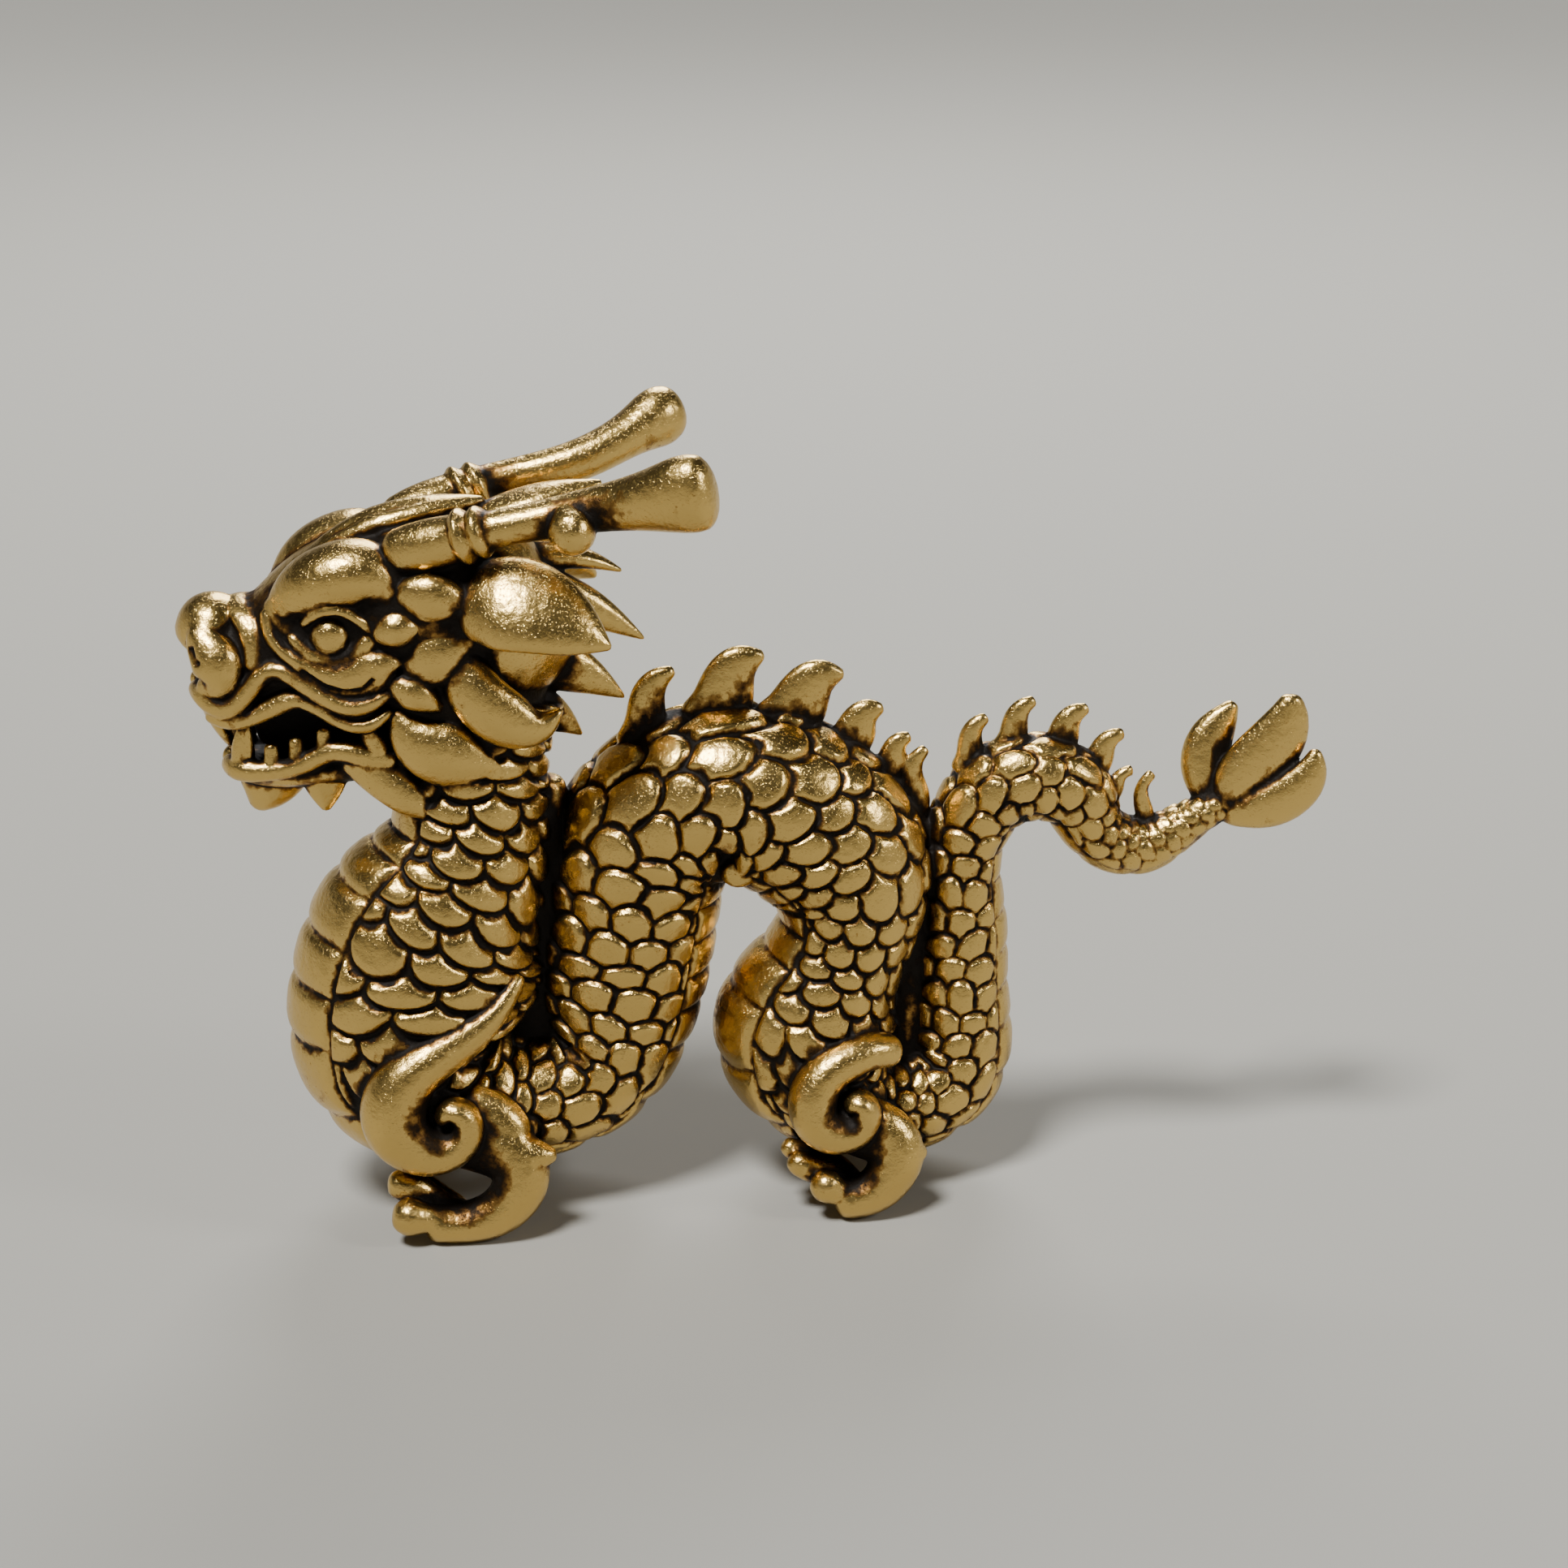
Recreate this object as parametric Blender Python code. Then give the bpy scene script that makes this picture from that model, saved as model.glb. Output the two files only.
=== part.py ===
"""A small cast brass dragon: one coiled, scaled body on four clawed feet, cast in one piece."""

import math

import bmesh
import bpy
import numpy as np
from mathutils import Vector

# Driving sizes, in metres.
LENGTH = 0.080  # nose to the tip of the tail fin
SCALE_RELIEF = 0.00060  # on the arch, how far the crown of a scale stands over the grooves round it
PLATE_RELIEF = 0.00045  # the same for the plates across the belly
SPINE_THICKNESS = 0.0019  # the thickest spine of the back, on top of the arch
TOOTH_HEIGHT = 0.0011
FOOT_THICKNESS = 0.0028  # before its sole is ground
SOLE_CUT = 0.00035  # what is ground off under each foot, so that all four stand flat

# The pose and the carving are laid out on a figure 80 units long.
FIGURE_LENGTH = 80.0
UNIT = LENGTH / FIGURE_LENGTH

# Number of scales round the body in each coil, and the row spacing as a share of the body's radius.
FRONT_SCALES, FRONT_ROW = 10, 0.46
MIDDLE_SCALES, MIDDLE_ROW = 11, 0.48
TAIL_SCALES, TAIL_ROW = 8, 0.76
BELLY_HALF_ANGLE = math.radians(46)
CROWN_SHIFT = 0.25  # how far a scale's crown lies towards its free end, in rows
GROOVE_SHARE = 0.5  # depth of the grooves below the plain surface, as a share of the relief
COIL_LAP = 1.0  # how far the end of one coil runs into the next, in units
COIL_END = 0.86  # the size of that buried end, as a share of the coil's own
BEND_LIMIT = 0.85  # the half width inside a bend, at most, as a share of the bend's radius

NEAR, UP = Vector((0, -1, 0)), Vector((0, 0, 1))
HEAD_TO_TAIL = Vector((1, 0, 0))


# Lines and closed forms

def smooth_run(stations, per_span):
    """Points on the natural cubic spline through the stations, every column interpolated alike."""
    rows = np.array(stations, float)
    count = len(rows)
    span = np.linalg.norm(np.diff(rows[:, :3], axis=0), axis=1)
    matrix, wanted = np.eye(count), np.zeros_like(rows)
    for k in range(1, count - 1):
        matrix[k, k - 1:k + 2] = span[k - 1], 2 * (span[k - 1] + span[k]), span[k]
        wanted[k] = 6 * ((rows[k + 1] - rows[k]) / span[k] - (rows[k] - rows[k - 1]) / span[k - 1])
    bend = np.linalg.solve(matrix, wanted)
    run = []
    for k in range(count - 1):
        for t in np.arange(per_span) / per_span:
            s = 1 - t
            run.append(s * rows[k] + t * rows[k + 1]
                       + span[k]**2 / 6 * ((s**3 - s) * bend[k] + (t**3 - t) * bend[k + 1]))
    run.append(rows[-1])
    return np.array(run)


def closed_form(rings, tips):
    """A closed mesh from rings of corners and a tip beyond each end."""
    mesh = bmesh.new()
    loops = [[mesh.verts.new(corner) for corner in ring] for ring in rings]
    count = len(loops[0])
    for low, high in zip(loops, loops[1:]):
        for k in range(count):
            mesh.faces.new((low[k], low[(k + 1) % count], high[(k + 1) % count], high[k]))
    for loop, tip in zip((loops[0][::-1], loops[-1]), tips):
        crown = mesh.verts.new(tip)
        for k in range(count):
            mesh.faces.new((loop[k], loop[(k + 1) % count], crown))
    return mesh


def named_object(name, mesh):
    bmesh.ops.recalc_face_normals(mesh, faces=mesh.faces)
    data = bpy.data.meshes.new(name)
    mesh.to_mesh(data)
    mesh.free()
    return bpy.data.objects.new(name, data)


def carve(name, stations, facing=NEAR, sides=6, per_span=1):
    """A form drawn out along its stations, each x, y, z, half width and half depth in figure units.
    Its depth lies along facing and its width across it; its ends are rounded off."""
    run = smooth_run(stations, per_span)
    centres = [Vector(row[:3]) for row in run]
    rings = []
    for k, row in enumerate(run):
        course = (centres[min(k + 1, len(run) - 1)] - centres[max(k - 1, 0)]).normalized()
        out = (facing - facing.dot(course) * course).normalized()
        across = course.cross(out)
        width, depth = max(row[3], 0.05), max(row[4], 0.05)
        rings.append([(centres[k] + across * width * math.cos(2 * math.pi * j / sides)
                       + out * depth * math.sin(2 * math.pi * j / sides)) * UNIT for j in range(sides)])
    first, last = (centres[0] - centres[1]).normalized(), (centres[-1] - centres[-2]).normalized()
    tips = [(centres[0] + first * 0.5 * min(run[0][3], run[0][4])) * UNIT,
            (centres[-1] + last * 0.5 * min(run[-1][3], run[-1][4])) * UNIT]
    FORMS.objects.link(named_object(name, closed_form(rings, tips)))


def carve_pair(name, stations, facing=NEAR, sides=6, per_span=1, far_shift=0.0):
    """The same form on the near side and, mirrored, on the far side."""
    carve(name + "_near", stations, facing, sides, per_span)
    mirrored = [(row[0] + far_shift, -row[1], *row[2:]) for row in stations]
    carve(name + "_far", mirrored, Vector((facing.x, -facing.y, facing.z)), sides, per_span)


def start_scene():
    for thing in list(bpy.data.objects):
        bpy.data.objects.remove(thing)
    forms = bpy.data.collections.new("forms_joined_in_the_casting")
    bpy.context.scene.collection.children.link(forms)
    return forms


FORMS = start_scene()

# The body: x, y, z of its middle line, then the half widths to the side, the back and the belly
NECK_TOP = (-19.0, 0.0, 38.0, 5.0, 5.0, 5.0)
NAPE = (-20.6, -0.5, 32.0, 5.2, 5.2, 5.2)
THROAT = (-21.2, -0.9, 26.8, 5.7, 5.9, 5.2)
BREAST = (-23.6, -1.2, 21.6, 6.8, 8.0, 7.5)
CHEST = (-24.8, -1.2, 16.6, 7.2, 8.4, 8.6)
FRONT_SHOULDER = (-24.2, -0.8, 11.4, 7.2, 6.6, 8.6)
FRONT_BEND = (-19.2, 0.0, 8.0, 7.0, 5.0, 5.6)
RISE = (-12.4, 0.8, 9.6, 6.4, 4.8, 5.2)
FLANK = (-10.4, 1.2, 15.0, 6.2, 6.4, 6.0)
WITHERS = (-9.3, 1.0, 21.0, 6.2, 6.7, 6.0)
ARCH_START = (-7.6, 0.6, 26.6, 6.3, 6.7, 6.0)
ARCH_TOP = (-3.0, 0.0, 29.3, 6.4, 6.3, 6.3)
LOIN = (2.2, -0.4, 27.2, 6.2, 6.8, 5.8)
RUMP = (5.5, -0.8, 22.4, 5.8, 6.1, 5.2)
STIFLE = (4.9, -1.0, 17.6, 5.6, 4.8, 4.7)
HIP = (3.2, -0.8, 11.6, 6.4, 6.2, 6.9)
HIND_BEND = (6.6, -0.2, 6.6, 6.2, 3.9, 4.8)
TAIL_ROOT = (12.6, 0.7, 7.6, 5.0, 3.6, 4.6)
TAIL_RISE = (13.9, 1.0, 13.2, 4.2, 3.7, 3.7)
TAIL_STEM = (14.0, 0.8, 19.0, 3.5, 3.2, 3.3)
TAIL_SHOULDER = (14.3, 0.4, 25.0, 3.0, 3.0, 2.7)
TAIL_CREST = (17.6, 0.0, 29.5, 3.1, 3.1, 3.1)
TAIL_FALL = (21.7, 0.0, 28.4, 2.8, 2.9, 2.7)
TAIL_SLOPE = (23.6, 0.0, 25.4, 2.3, 2.2, 2.2)
TAIL_DIP = (26.6, 0.0, 24.2, 2.0, 2.0, 2.1)
FIN_STALK = (30.0, 0.0, 25.7, 1.5, 1.5, 1.5)
FIN_ROOT = (32.8, 0.0, 27.3, 1.1, 1.1, 1.1)

FRONT_COIL = [NECK_TOP, NAPE, THROAT, BREAST, CHEST, FRONT_SHOULDER, FRONT_BEND]
MIDDLE_COIL = [FRONT_BEND, RISE, FLANK, WITHERS, ARCH_START, ARCH_TOP, LOIN, RUMP, STIFLE, HIP, HIND_BEND]
TAIL_COIL = [HIND_BEND, TAIL_ROOT, TAIL_RISE, TAIL_STEM, TAIL_SHOULDER, TAIL_CREST, TAIL_FALL,
             TAIL_SLOPE, TAIL_DIP, FIN_STALK, FIN_ROOT]
WHOLE_BODY = FRONT_COIL + MIDDLE_COIL[1:] + TAIL_COIL[1:]
LINE_STEPS = 24


def body_line(first, last):
    """The body's line between two stations: centres, half widths and the directions across and back.
    Inside a bend the body is no thicker than the bend has room for."""
    run = smooth_run(WHOLE_BODY, LINE_STEPS)
    low, high = WHOLE_BODY.index(first) * LINE_STEPS, WHOLE_BODY.index(last) * LINE_STEPS
    course = np.gradient(run[:, :3], axis=0)
    pace = np.linalg.norm(course, axis=1, keepdims=True)
    course /= pace
    across = np.array([0.0, 1.0, 0.0]) - course * course[:, 1:2]
    across /= np.linalg.norm(across, axis=1, keepdims=True)
    back = np.cross(course, across)
    curve = np.sum(np.gradient(course, axis=0) / pace * back, axis=1)
    room = BEND_LIMIT / np.maximum(np.abs(curve), 1e-6)
    for column, inside in ((4, curve > 0), (5, curve < 0)):
        run[:, column] = np.where(inside, np.minimum(run[:, column], room), run[:, column])
    part = slice(low, high + 1)
    return run[part], course[part], across[part], back[part]


def scaled_coil(name, stations, scales, row_share):
    """A length of body whose surface is a lattice of overlapping scales, with plates across the belly.
    Its two ends are slimmer and lie inside the next coil, or inside the head or the fin."""
    run, course, across, back = body_line(stations[0], stations[-1])
    steps = np.linalg.norm(np.diff(run[:, :3], axis=0), axis=1)
    radius = (run[1:, 3] + run[:-1, 3]) / 2
    rows_done = np.concatenate([[0], np.cumsum(steps / (row_share * radius))])
    row_count = 2 * round(rows_done[-1] / 2)
    wanted = np.linspace(0, rows_done[-1], row_count + 1)
    at = [np.column_stack([np.interp(wanted, rows_done, column) for column in table.T])
          for table in (run, course, across, back)]
    corners = 2 * scales
    rings = []
    for i, (row, ahead, side, dorsal) in enumerate(zip(*at)):
        if i in (0, row_count):
            row = np.concatenate([row[:3] + ahead * (COIL_LAP if i else -COIL_LAP), row[3:] * COIL_END])
        ring = []
        for j in range(corners):
            turn = 2 * math.pi * j / corners
            depth = row[4] if math.cos(turn) > 0 else row[5]
            out = side * row[3] * math.sin(turn) + dorsal * depth * math.cos(turn)
            point = Vector(row[:3] + out) * UNIT
            crown = (i + j) % 2 == 0
            relief = SCALE_RELIEF * row[3] / ARCH_TOP[3]
            shift = CROWN_SHIFT * row_share * row[3] * crown
            if abs(turn - math.pi) < BELLY_HALF_ANGLE:
                crown, relief, shift = i % 2 == 0, PLATE_RELIEF, 0.0
            if 0 < i < row_count:
                height = relief * (1 - GROOVE_SHARE) if crown else -relief * GROOVE_SHARE
                point += Vector(out).normalized() * height + Vector(ahead) * shift * UNIT
            ring.append(point)
        rings.append(ring)
    mesh = bmesh.new()
    loops = [[mesh.verts.new(point) for point in ring] for ring in rings]
    for i, (low, high) in enumerate(zip(loops, loops[1:])):
        for j in range(corners):
            k = (j + 1) % corners
            if (i + j) % 2 == 0:
                mesh.faces.new((low[j], low[k], high[j]))
                mesh.faces.new((low[k], high[k], high[j]))
            else:
                mesh.faces.new((low[j], low[k], high[k]))
                mesh.faces.new((low[j], high[k], high[j]))
    mesh.faces.new(loops[0][::-1])
    mesh.faces.new(loops[-1])
    return named_object(name, mesh)


# The spines of the back: where each one's root stands, where its hooked tip ends, and its root's width

SPINES = [((-8.6, 34.2), (-6.3, 38.7), 2.8), ((-3.4, 35.4), (0.0, 39.6), 4.2), ((1.6, 34.7), (5.6, 38.0), 4.2),
          ((5.9, 32.9), (8.3, 35.3), 3.0), ((8.7, 31.0), (10.2, 33.1), 2.0), ((10.6, 28.0), (11.3, 32.3), 1.9),
          ((14.3, 31.2), (15.6, 34.4), 1.9), ((17.3, 32.5), (19.0, 35.5), 2.0), ((20.7, 31.9), (22.8, 34.8), 2.3),
          ((23.4, 30.4), (25.4, 32.8), 2.0), ((24.6, 28.2), (26.1, 30.0), 1.3), ((27.0, 26.2), (27.5, 29.8), 1.3)]


def back_spines():
    widest = max(width for root, tip, width in SPINES)
    for k, (root, tip, width) in enumerate(SPINES):
        root, tip = Vector((root[0], 0, root[1])), Vector((tip[0], 0, tip[1]))
        rise = tip - root
        hook = Vector((-rise.z, 0, rise.x)) * 0.10
        wide, thick = width / 2, SPINE_THICKNESS / UNIT / 2 * (0.4 + 0.6 * width / widest)
        carve(f"spine_{k + 1}", [(*(root - rise * 0.30), wide, thick),
                                 (*(root + rise * 0.40 + hook), wide * 0.85, thick * 0.85),
                                 (*(root + rise * 0.75 + hook), wide * 0.5, thick * 0.6),
                                 (*(root + rise * 0.97), wide * 0.12, thick * 0.25)], sides=4)


# Metal left between the coils where they touch, at the bottom of the creases

def crease_webs():
    carve("web_behind_the_neck", [(-15.8, 0, 7.0, 3.0, 3.0), (-16.6, 0, 14.0, 2.4, 2.4), (-16.0, 0, 22.0, 2.2, 2.2),
                                  (-15.2, 0, 30.5, 1.4, 1.5)])
    carve("web_before_the_tail", [(9.9, 0, 5.0, 2.4, 2.6), (10.0, 0, 13.0, 2.0, 2.0), (11.2, 0, 26.5, 1.0, 1.0)])


# The head

def head_masses():
    carve("skull", [(-15.4, 0, 43.0, 2.4, 2.6), (-17.4, 0, 43.6, 4.6, 5.0), (-21.5, 0, 44.2, 5.3, 6.1),
                    (-26.0, 0, 44.8, 5.0, 4.8), (-29.4, 0, 44.6, 4.3, 3.8), (-32.4, 0, 42.4, 3.8, 3.2),
                    (-35.0, 0, 41.0, 3.1, 3.2), (-38.0, 0, 40.6, 2.6, 2.6)], UP, sides=8)
    carve("jaw_muscle", [(-17.0, 0, 40.5, 3.4, 3.4), (-19.5, 0, 39.0, 5.0, 5.2), (-23.5, 0, 38.0, 5.2, 4.6),
                         (-27.2, 0, 37.0, 4.4, 2.6)], UP)
    carve("lower_jaw", [(-24.0, 0, 34.0, 4.6, 2.2), (-28.0, 0, 33.4, 4.3, 1.7), (-31.0, 0, 32.8, 3.7, 1.4),
                        (-34.2, 0, 32.5, 3.1, 1.2), (-36.3, 0, 32.7, 1.9, 1.0)], UP)
    carve("mouth_floor", [(-24.0, 0, 36.0, 3.0, 2.6), (-29.0, 0, 35.8, 3.0, 2.2), (-32.5, 0, 36.0, 2.6, 1.6),
                          (-35.0, 0, 35.6, 1.6, 0.9)])
    carve("nose_bulb", [(-36.1, 0, 42.3, 1.6, 1.4), (-37.0, 0, 42.6, 2.6, 2.1), (-38.3, 0, 42.4, 2.6, 2.2),
                        (-39.4, 0, 41.9, 1.5, 1.3)], UP)
    carve_pair("nostril_wing", [(-38.0, -2.1, 42.6, 0.9, 0.8), (-37.9, -2.4, 41.2, 1.5, 1.2),
                                (-37.9, -2.3, 39.7, 1.0, 0.9)])
    carve("upper_beak", [(-38.4, 0, 38.6, 1.9, 0.7), (-37.8, 0, 36.6, 1.7, 0.7), (-36.7, 0, 34.4, 0.9, 0.5)],
          -HEAD_TO_TAIL)
    for k, (x, reach) in enumerate([(-35.2, 1.0), (-33.7, 1.05)]):
        arc = [math.radians(a) for a in (-100, -50, 0, 50, 100)]
        carve(f"snout_wrinkle_{k + 1}", [(x + 0.5 * abs(math.sin(a)), 3.3 * reach * math.sin(a),
                                          41.3 + 3.1 * reach * math.cos(a), 0.5, 0.5) for a in arc], HEAD_TO_TAIL,
              sides=4)


def head_ridges():
    carve_pair("lip_ridge", [(-38.9, -0.8, 38.4, 0.5, 0.6), (-38.2, -2.5, 38.3, 0.55, 0.8),
                             (-37.0, -3.2, 37.9, 0.55, 0.8), (-35.7, -3.4, 38.7, 0.5, 0.8),
                             (-34.6, -3.4, 40.1, 0.5, 0.8), (-33.2, -3.7, 40.7, 0.5, 0.8),
                             (-31.4, -4.2, 39.9, 0.5, 0.9), (-29.6, -4.6, 38.8, 0.5, 0.9),
                             (-28.0, -4.9, 38.3, 0.5, 0.9), (-25.9, -5.0, 39.3, 0.3, 0.6)], sides=4)
    carve_pair("lip_edge", [(-37.2, -2.9, 37.0, 0.4, 0.7), (-35.6, -3.1, 37.4, 0.45, 0.8),
                            (-33.4, -3.4, 38.1, 0.45, 0.9), (-30.9, -4.0, 38.0, 0.5, 1.0),
                            (-28.6, -4.5, 37.0, 0.45, 1.0), (-26.2, -4.8, 37.8, 0.3, 0.7)], sides=4)
    carve_pair("lower_lip", [(-36.9, -0.6, 33.4, 0.5, 0.6), (-36.1, -2.0, 33.4, 0.55, 0.7),
                             (-34.0, -2.7, 33.5, 0.5, 0.6), (-31.6, -3.2, 34.1, 0.5, 0.6),
                             (-29.4, -3.6, 35.0, 0.55, 0.7), (-27.0, -4.0, 35.6, 0.8, 0.9)], sides=4)
    carve_pair("under_eye_band", [(-33.8, -3.0, 44.3, 0.4, 0.7), (-33.0, -3.7, 42.4, 0.5, 0.8),
                                  (-30.4, -4.4, 40.8, 0.7, 0.9), (-27.8, -4.9, 40.5, 1.1, 0.9),
                                  (-26.2, -5.1, 41.1, 0.9, 0.8), (-25.0, -5.2, 41.3, 0.2, 0.4)], sides=4)
    carve_pair("brow", [(-33.0, -2.7, 44.6, 1.0, 1.1), (-31.2, -3.3, 46.1, 1.8, 2.2), (-28.2, -3.6, 46.9, 2.1, 2.7),
                        (-25.9, -4.0, 46.1, 1.6, 2.0), (-25.6, -4.5, 44.5, 0.6, 0.8)])
    carve_pair("eye", [(-29.6, -3.0, 43.2, 1.3, 1.3), (-29.6, -4.7, 43.15, 1.35, 1.35),
                       (-29.6, -5.4, 43.15, 0.8, 0.8)], UP)
    carve("crest_front", [(-31.4, 0, 46.8, 0.6, 0.6), (-28.6, 0, 48.7, 1.5, 0.9), (-24.6, 0, 50.2, 1.9, 1.0),
                          (-19.2, 0, 50.9, 0.4, 0.4)], UP)
    carve("crest_rear", [(-19.0, 0, 49.6, 1.6, 1.2), (-16.4, 0, 50.6, 2.0, 1.1), (-13.6, 0, 51.4, 1.2, 0.8),
                         (-11.2, 0, 51.9, 0.3, 0.3)], UP)


def cheek_and_mane():
    for k, (low, mid, high, width) in enumerate([
            ((-24.4, -5.2, 45.9), (-22.6, -5.5, 45.7), (-20.5, -5.4, 45.3), 1.25),
            ((-26.3, -5.0, 43.5), (-25.2, -5.2, 43.9), (-24.0, -5.2, 43.9), 1.0),
            ((-24.2, -4.6, 41.1), (-22.6, -5.1, 41.7), (-20.9, -5.1, 42.6), 1.5),
            ((-25.2, -4.8, 39.7), (-24.1, -5.1, 39.1), (-22.9, -5.2, 38.3), 0.95)]):
        carve_pair(f"cheek_knob_{k + 1}", [(*low, width * 0.4, 0.6), (*mid, width, 1.3), (*high, width * 0.25, 0.6)],
                   sides=5)
    carve_pair("ear", [(-20.6, -4.8, 45.4, 1.7, 1.3), (-18.0, -6.4, 45.8, 3.0, 1.5), (-15.0, -7.6, 45.0, 2.7, 1.1),
                       (-12.6, -8.2, 43.7, 1.3, 0.7), (-11.2, -8.4, 42.9, 0.2, 0.2)],
               Vector((0.1, -0.9, 0.42)).normalized())
    carve_pair("mane_upper", [(-21.0, -5.0, 40.8, 1.2, 1.0), (-19.8, -5.6, 38.5, 1.7, 1.3),
                              (-17.4, -5.9, 36.9, 1.5, 1.2), (-15.6, -5.9, 36.6, 0.9, 0.9),
                              (-14.4, -5.8, 37.7, 0.15, 0.3)])
    carve_pair("mane_lower", [(-25.0, -4.6, 37.0, 0.9, 1.0), (-23.7, -5.1, 35.3, 1.7, 1.2),
                              (-21.7, -5.3, 34.4, 1.8, 1.2), (-19.9, -5.3, 34.0, 1.1, 0.9),
                              (-18.6, -5.2, 33.8, 0.2, 0.3)])
    carve_pair("jaw_flap", [(-27.4, -3.8, 34.4, 1.3, 0.7), (-26.7, -4.1, 32.6, 1.3, 0.8),
                            (-26.0, -4.0, 30.5, 0.15, 0.3)], sides=4)
    carve_pair("jaw_fin", [(-30.6, -2.4, 32.8, 1.0, 0.6), (-30.5, -2.4, 31.4, 0.9, 0.6),
                           (-30.4, -2.3, 29.9, 0.15, 0.3)], sides=4)
    carve("chin_tuft", [(-34.2, 0, 32.4, 1.6, 1.3), (-34.6, 0, 31.0, 1.3, 1.1), (-35.5, 0, 29.3, 0.15, 0.3)], sides=4)
    for k, (root, tip, width) in enumerate([((-17.0, 0, 45.0), (-8.4, 0, 40.8), 1.9),
                                            ((-17.0, 0, 40.0), (-9.8, 0, 36.6), 2.2),
                                            ((-17.6, 0, 36.6), (-12.8, 0, 34.0), 1.9)]):
        root, tip = Vector(root), Vector(tip)
        middle = root.lerp(tip, 0.55) + UP * 0.5
        carve(f"nape_spike_{k + 1}", [(*root, width, 1.6), (*middle, width * 0.75, 1.1), (*tip, 0.15, 0.2)], sides=4)


def horns():
    carve_pair("horn", [(-25.2, -4.0, 48.6, 1.5, 1.5), (-22.4, -4.9, 49.5, 1.7, 1.7),
                        (-18.8, -5.9, 50.5, 1.2, 1.2), (-12.8, -6.3, 51.7, 1.4, 1.4),
                        (-9.0, -7.8, 52.8, 1.9, 1.8), (-6.3, -9.4, 53.7, 2.45, 2.1),
                        (-4.5, -10.3, 54.4, 1.5, 1.3)])
    carve_pair("horn_band", [(-21.0, -5.3, 49.9, 1.8, 1.8), (-20.0, -5.6, 50.2, 2.1, 2.1),
                             (-19.1, -5.8, 50.45, 1.7, 1.7)])
    carve_pair("horn_tine", [(-13.6, -6.6, 51.4, 1.0, 1.0), (-13.5, -7.6, 50.8, 1.2, 1.2),
                             (-13.4, -8.6, 50.4, 1.5, 1.5), (-13.4, -9.5, 50.1, 0.8, 0.8)], UP, sides=5)


def teeth():
    height = TOOTH_HEIGHT / UNIT
    for k, (x, y, z) in enumerate([(-34.0, -2.7, 33.7), (-32.3, -3.0, 34.2), (-30.4, -3.4, 35.0)]):
        carve_pair(f"tooth_{k + 1}", [(x, y, z - 0.3, 0.5, 0.4), (x, y, z + height, 0.3, 0.25)], sides=4)
    carve_pair("tusk", [(-36.0, -1.9, 33.2, 0.7, 0.6), (-35.8, -2.2, 35.0, 0.65, 0.5),
                        (-35.5, -2.3, 36.6, 0.25, 0.25)], sides=4)


# The legs, each a flame that curls into a scroll on the body, with an arm, heel, foot and toes

FAR_FRONT_STEP, FAR_HIND_STEP = 1.5, 1.0  # how much further back the far legs stand


FOOT_HALF = FOOT_THICKNESS / UNIT / 2
FOOT_HEIGHT = FOOT_HALF - SOLE_CUT / UNIT  # of a foot's middle above the ground


def front_leg():
    carve_pair("front_flame", [(-17.6, -5.9, 18.8, 0.2, 0.6), (-19.2, -6.8, 16.2, 0.9, 1.4),
                               (-22.4, -7.5, 14.2, 1.4, 1.9), (-26.2, -8.0, 12.3, 2.0, 2.2),
                               (-26.8, -8.5, 9.0, 2.2, 2.2), (-24.6, -8.8, 6.9, 1.7, 2.0),
                               (-22.3, -8.9, 7.4, 1.1, 1.7), (-22.7, -8.9, 9.6, 0.7, 1.4)],
               far_shift=FAR_FRONT_STEP)
    carve_pair("front_arm", [(-23.4, -7.0, 9.6, 1.9, 1.8), (-20.4, -7.6, 7.9, 1.8, 1.8),
                             (-17.2, -8.6, 6.1, 1.5, 1.6), (-17.3, -9.0, 3.5, 1.3, 1.6),
                             (-19.8, -9.1, FOOT_HEIGHT + 0.4, FOOT_HALF, 1.8),
                             (-22.0, -9.1, FOOT_HEIGHT, FOOT_HALF, 1.9),
                             (-24.4, -9.0, FOOT_HEIGHT, FOOT_HALF, 2.0)],
               far_shift=FAR_FRONT_STEP)
    for k, (y, reach) in enumerate([(-9.9, 0.0), (-8.3, 0.9), (-6.9, 0.4)]):
        carve_pair(f"front_toe_{k + 1}", [(-23.2, (y - 9.0) / 2, 1.2, 0.9, 0.9), (-25.0, y, 1.7, 0.85, 0.85),
                                          (-26.8 - reach, y, 2.4, 1.05, 0.95)],
                   UP, sides=5, far_shift=FAR_FRONT_STEP)


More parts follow.
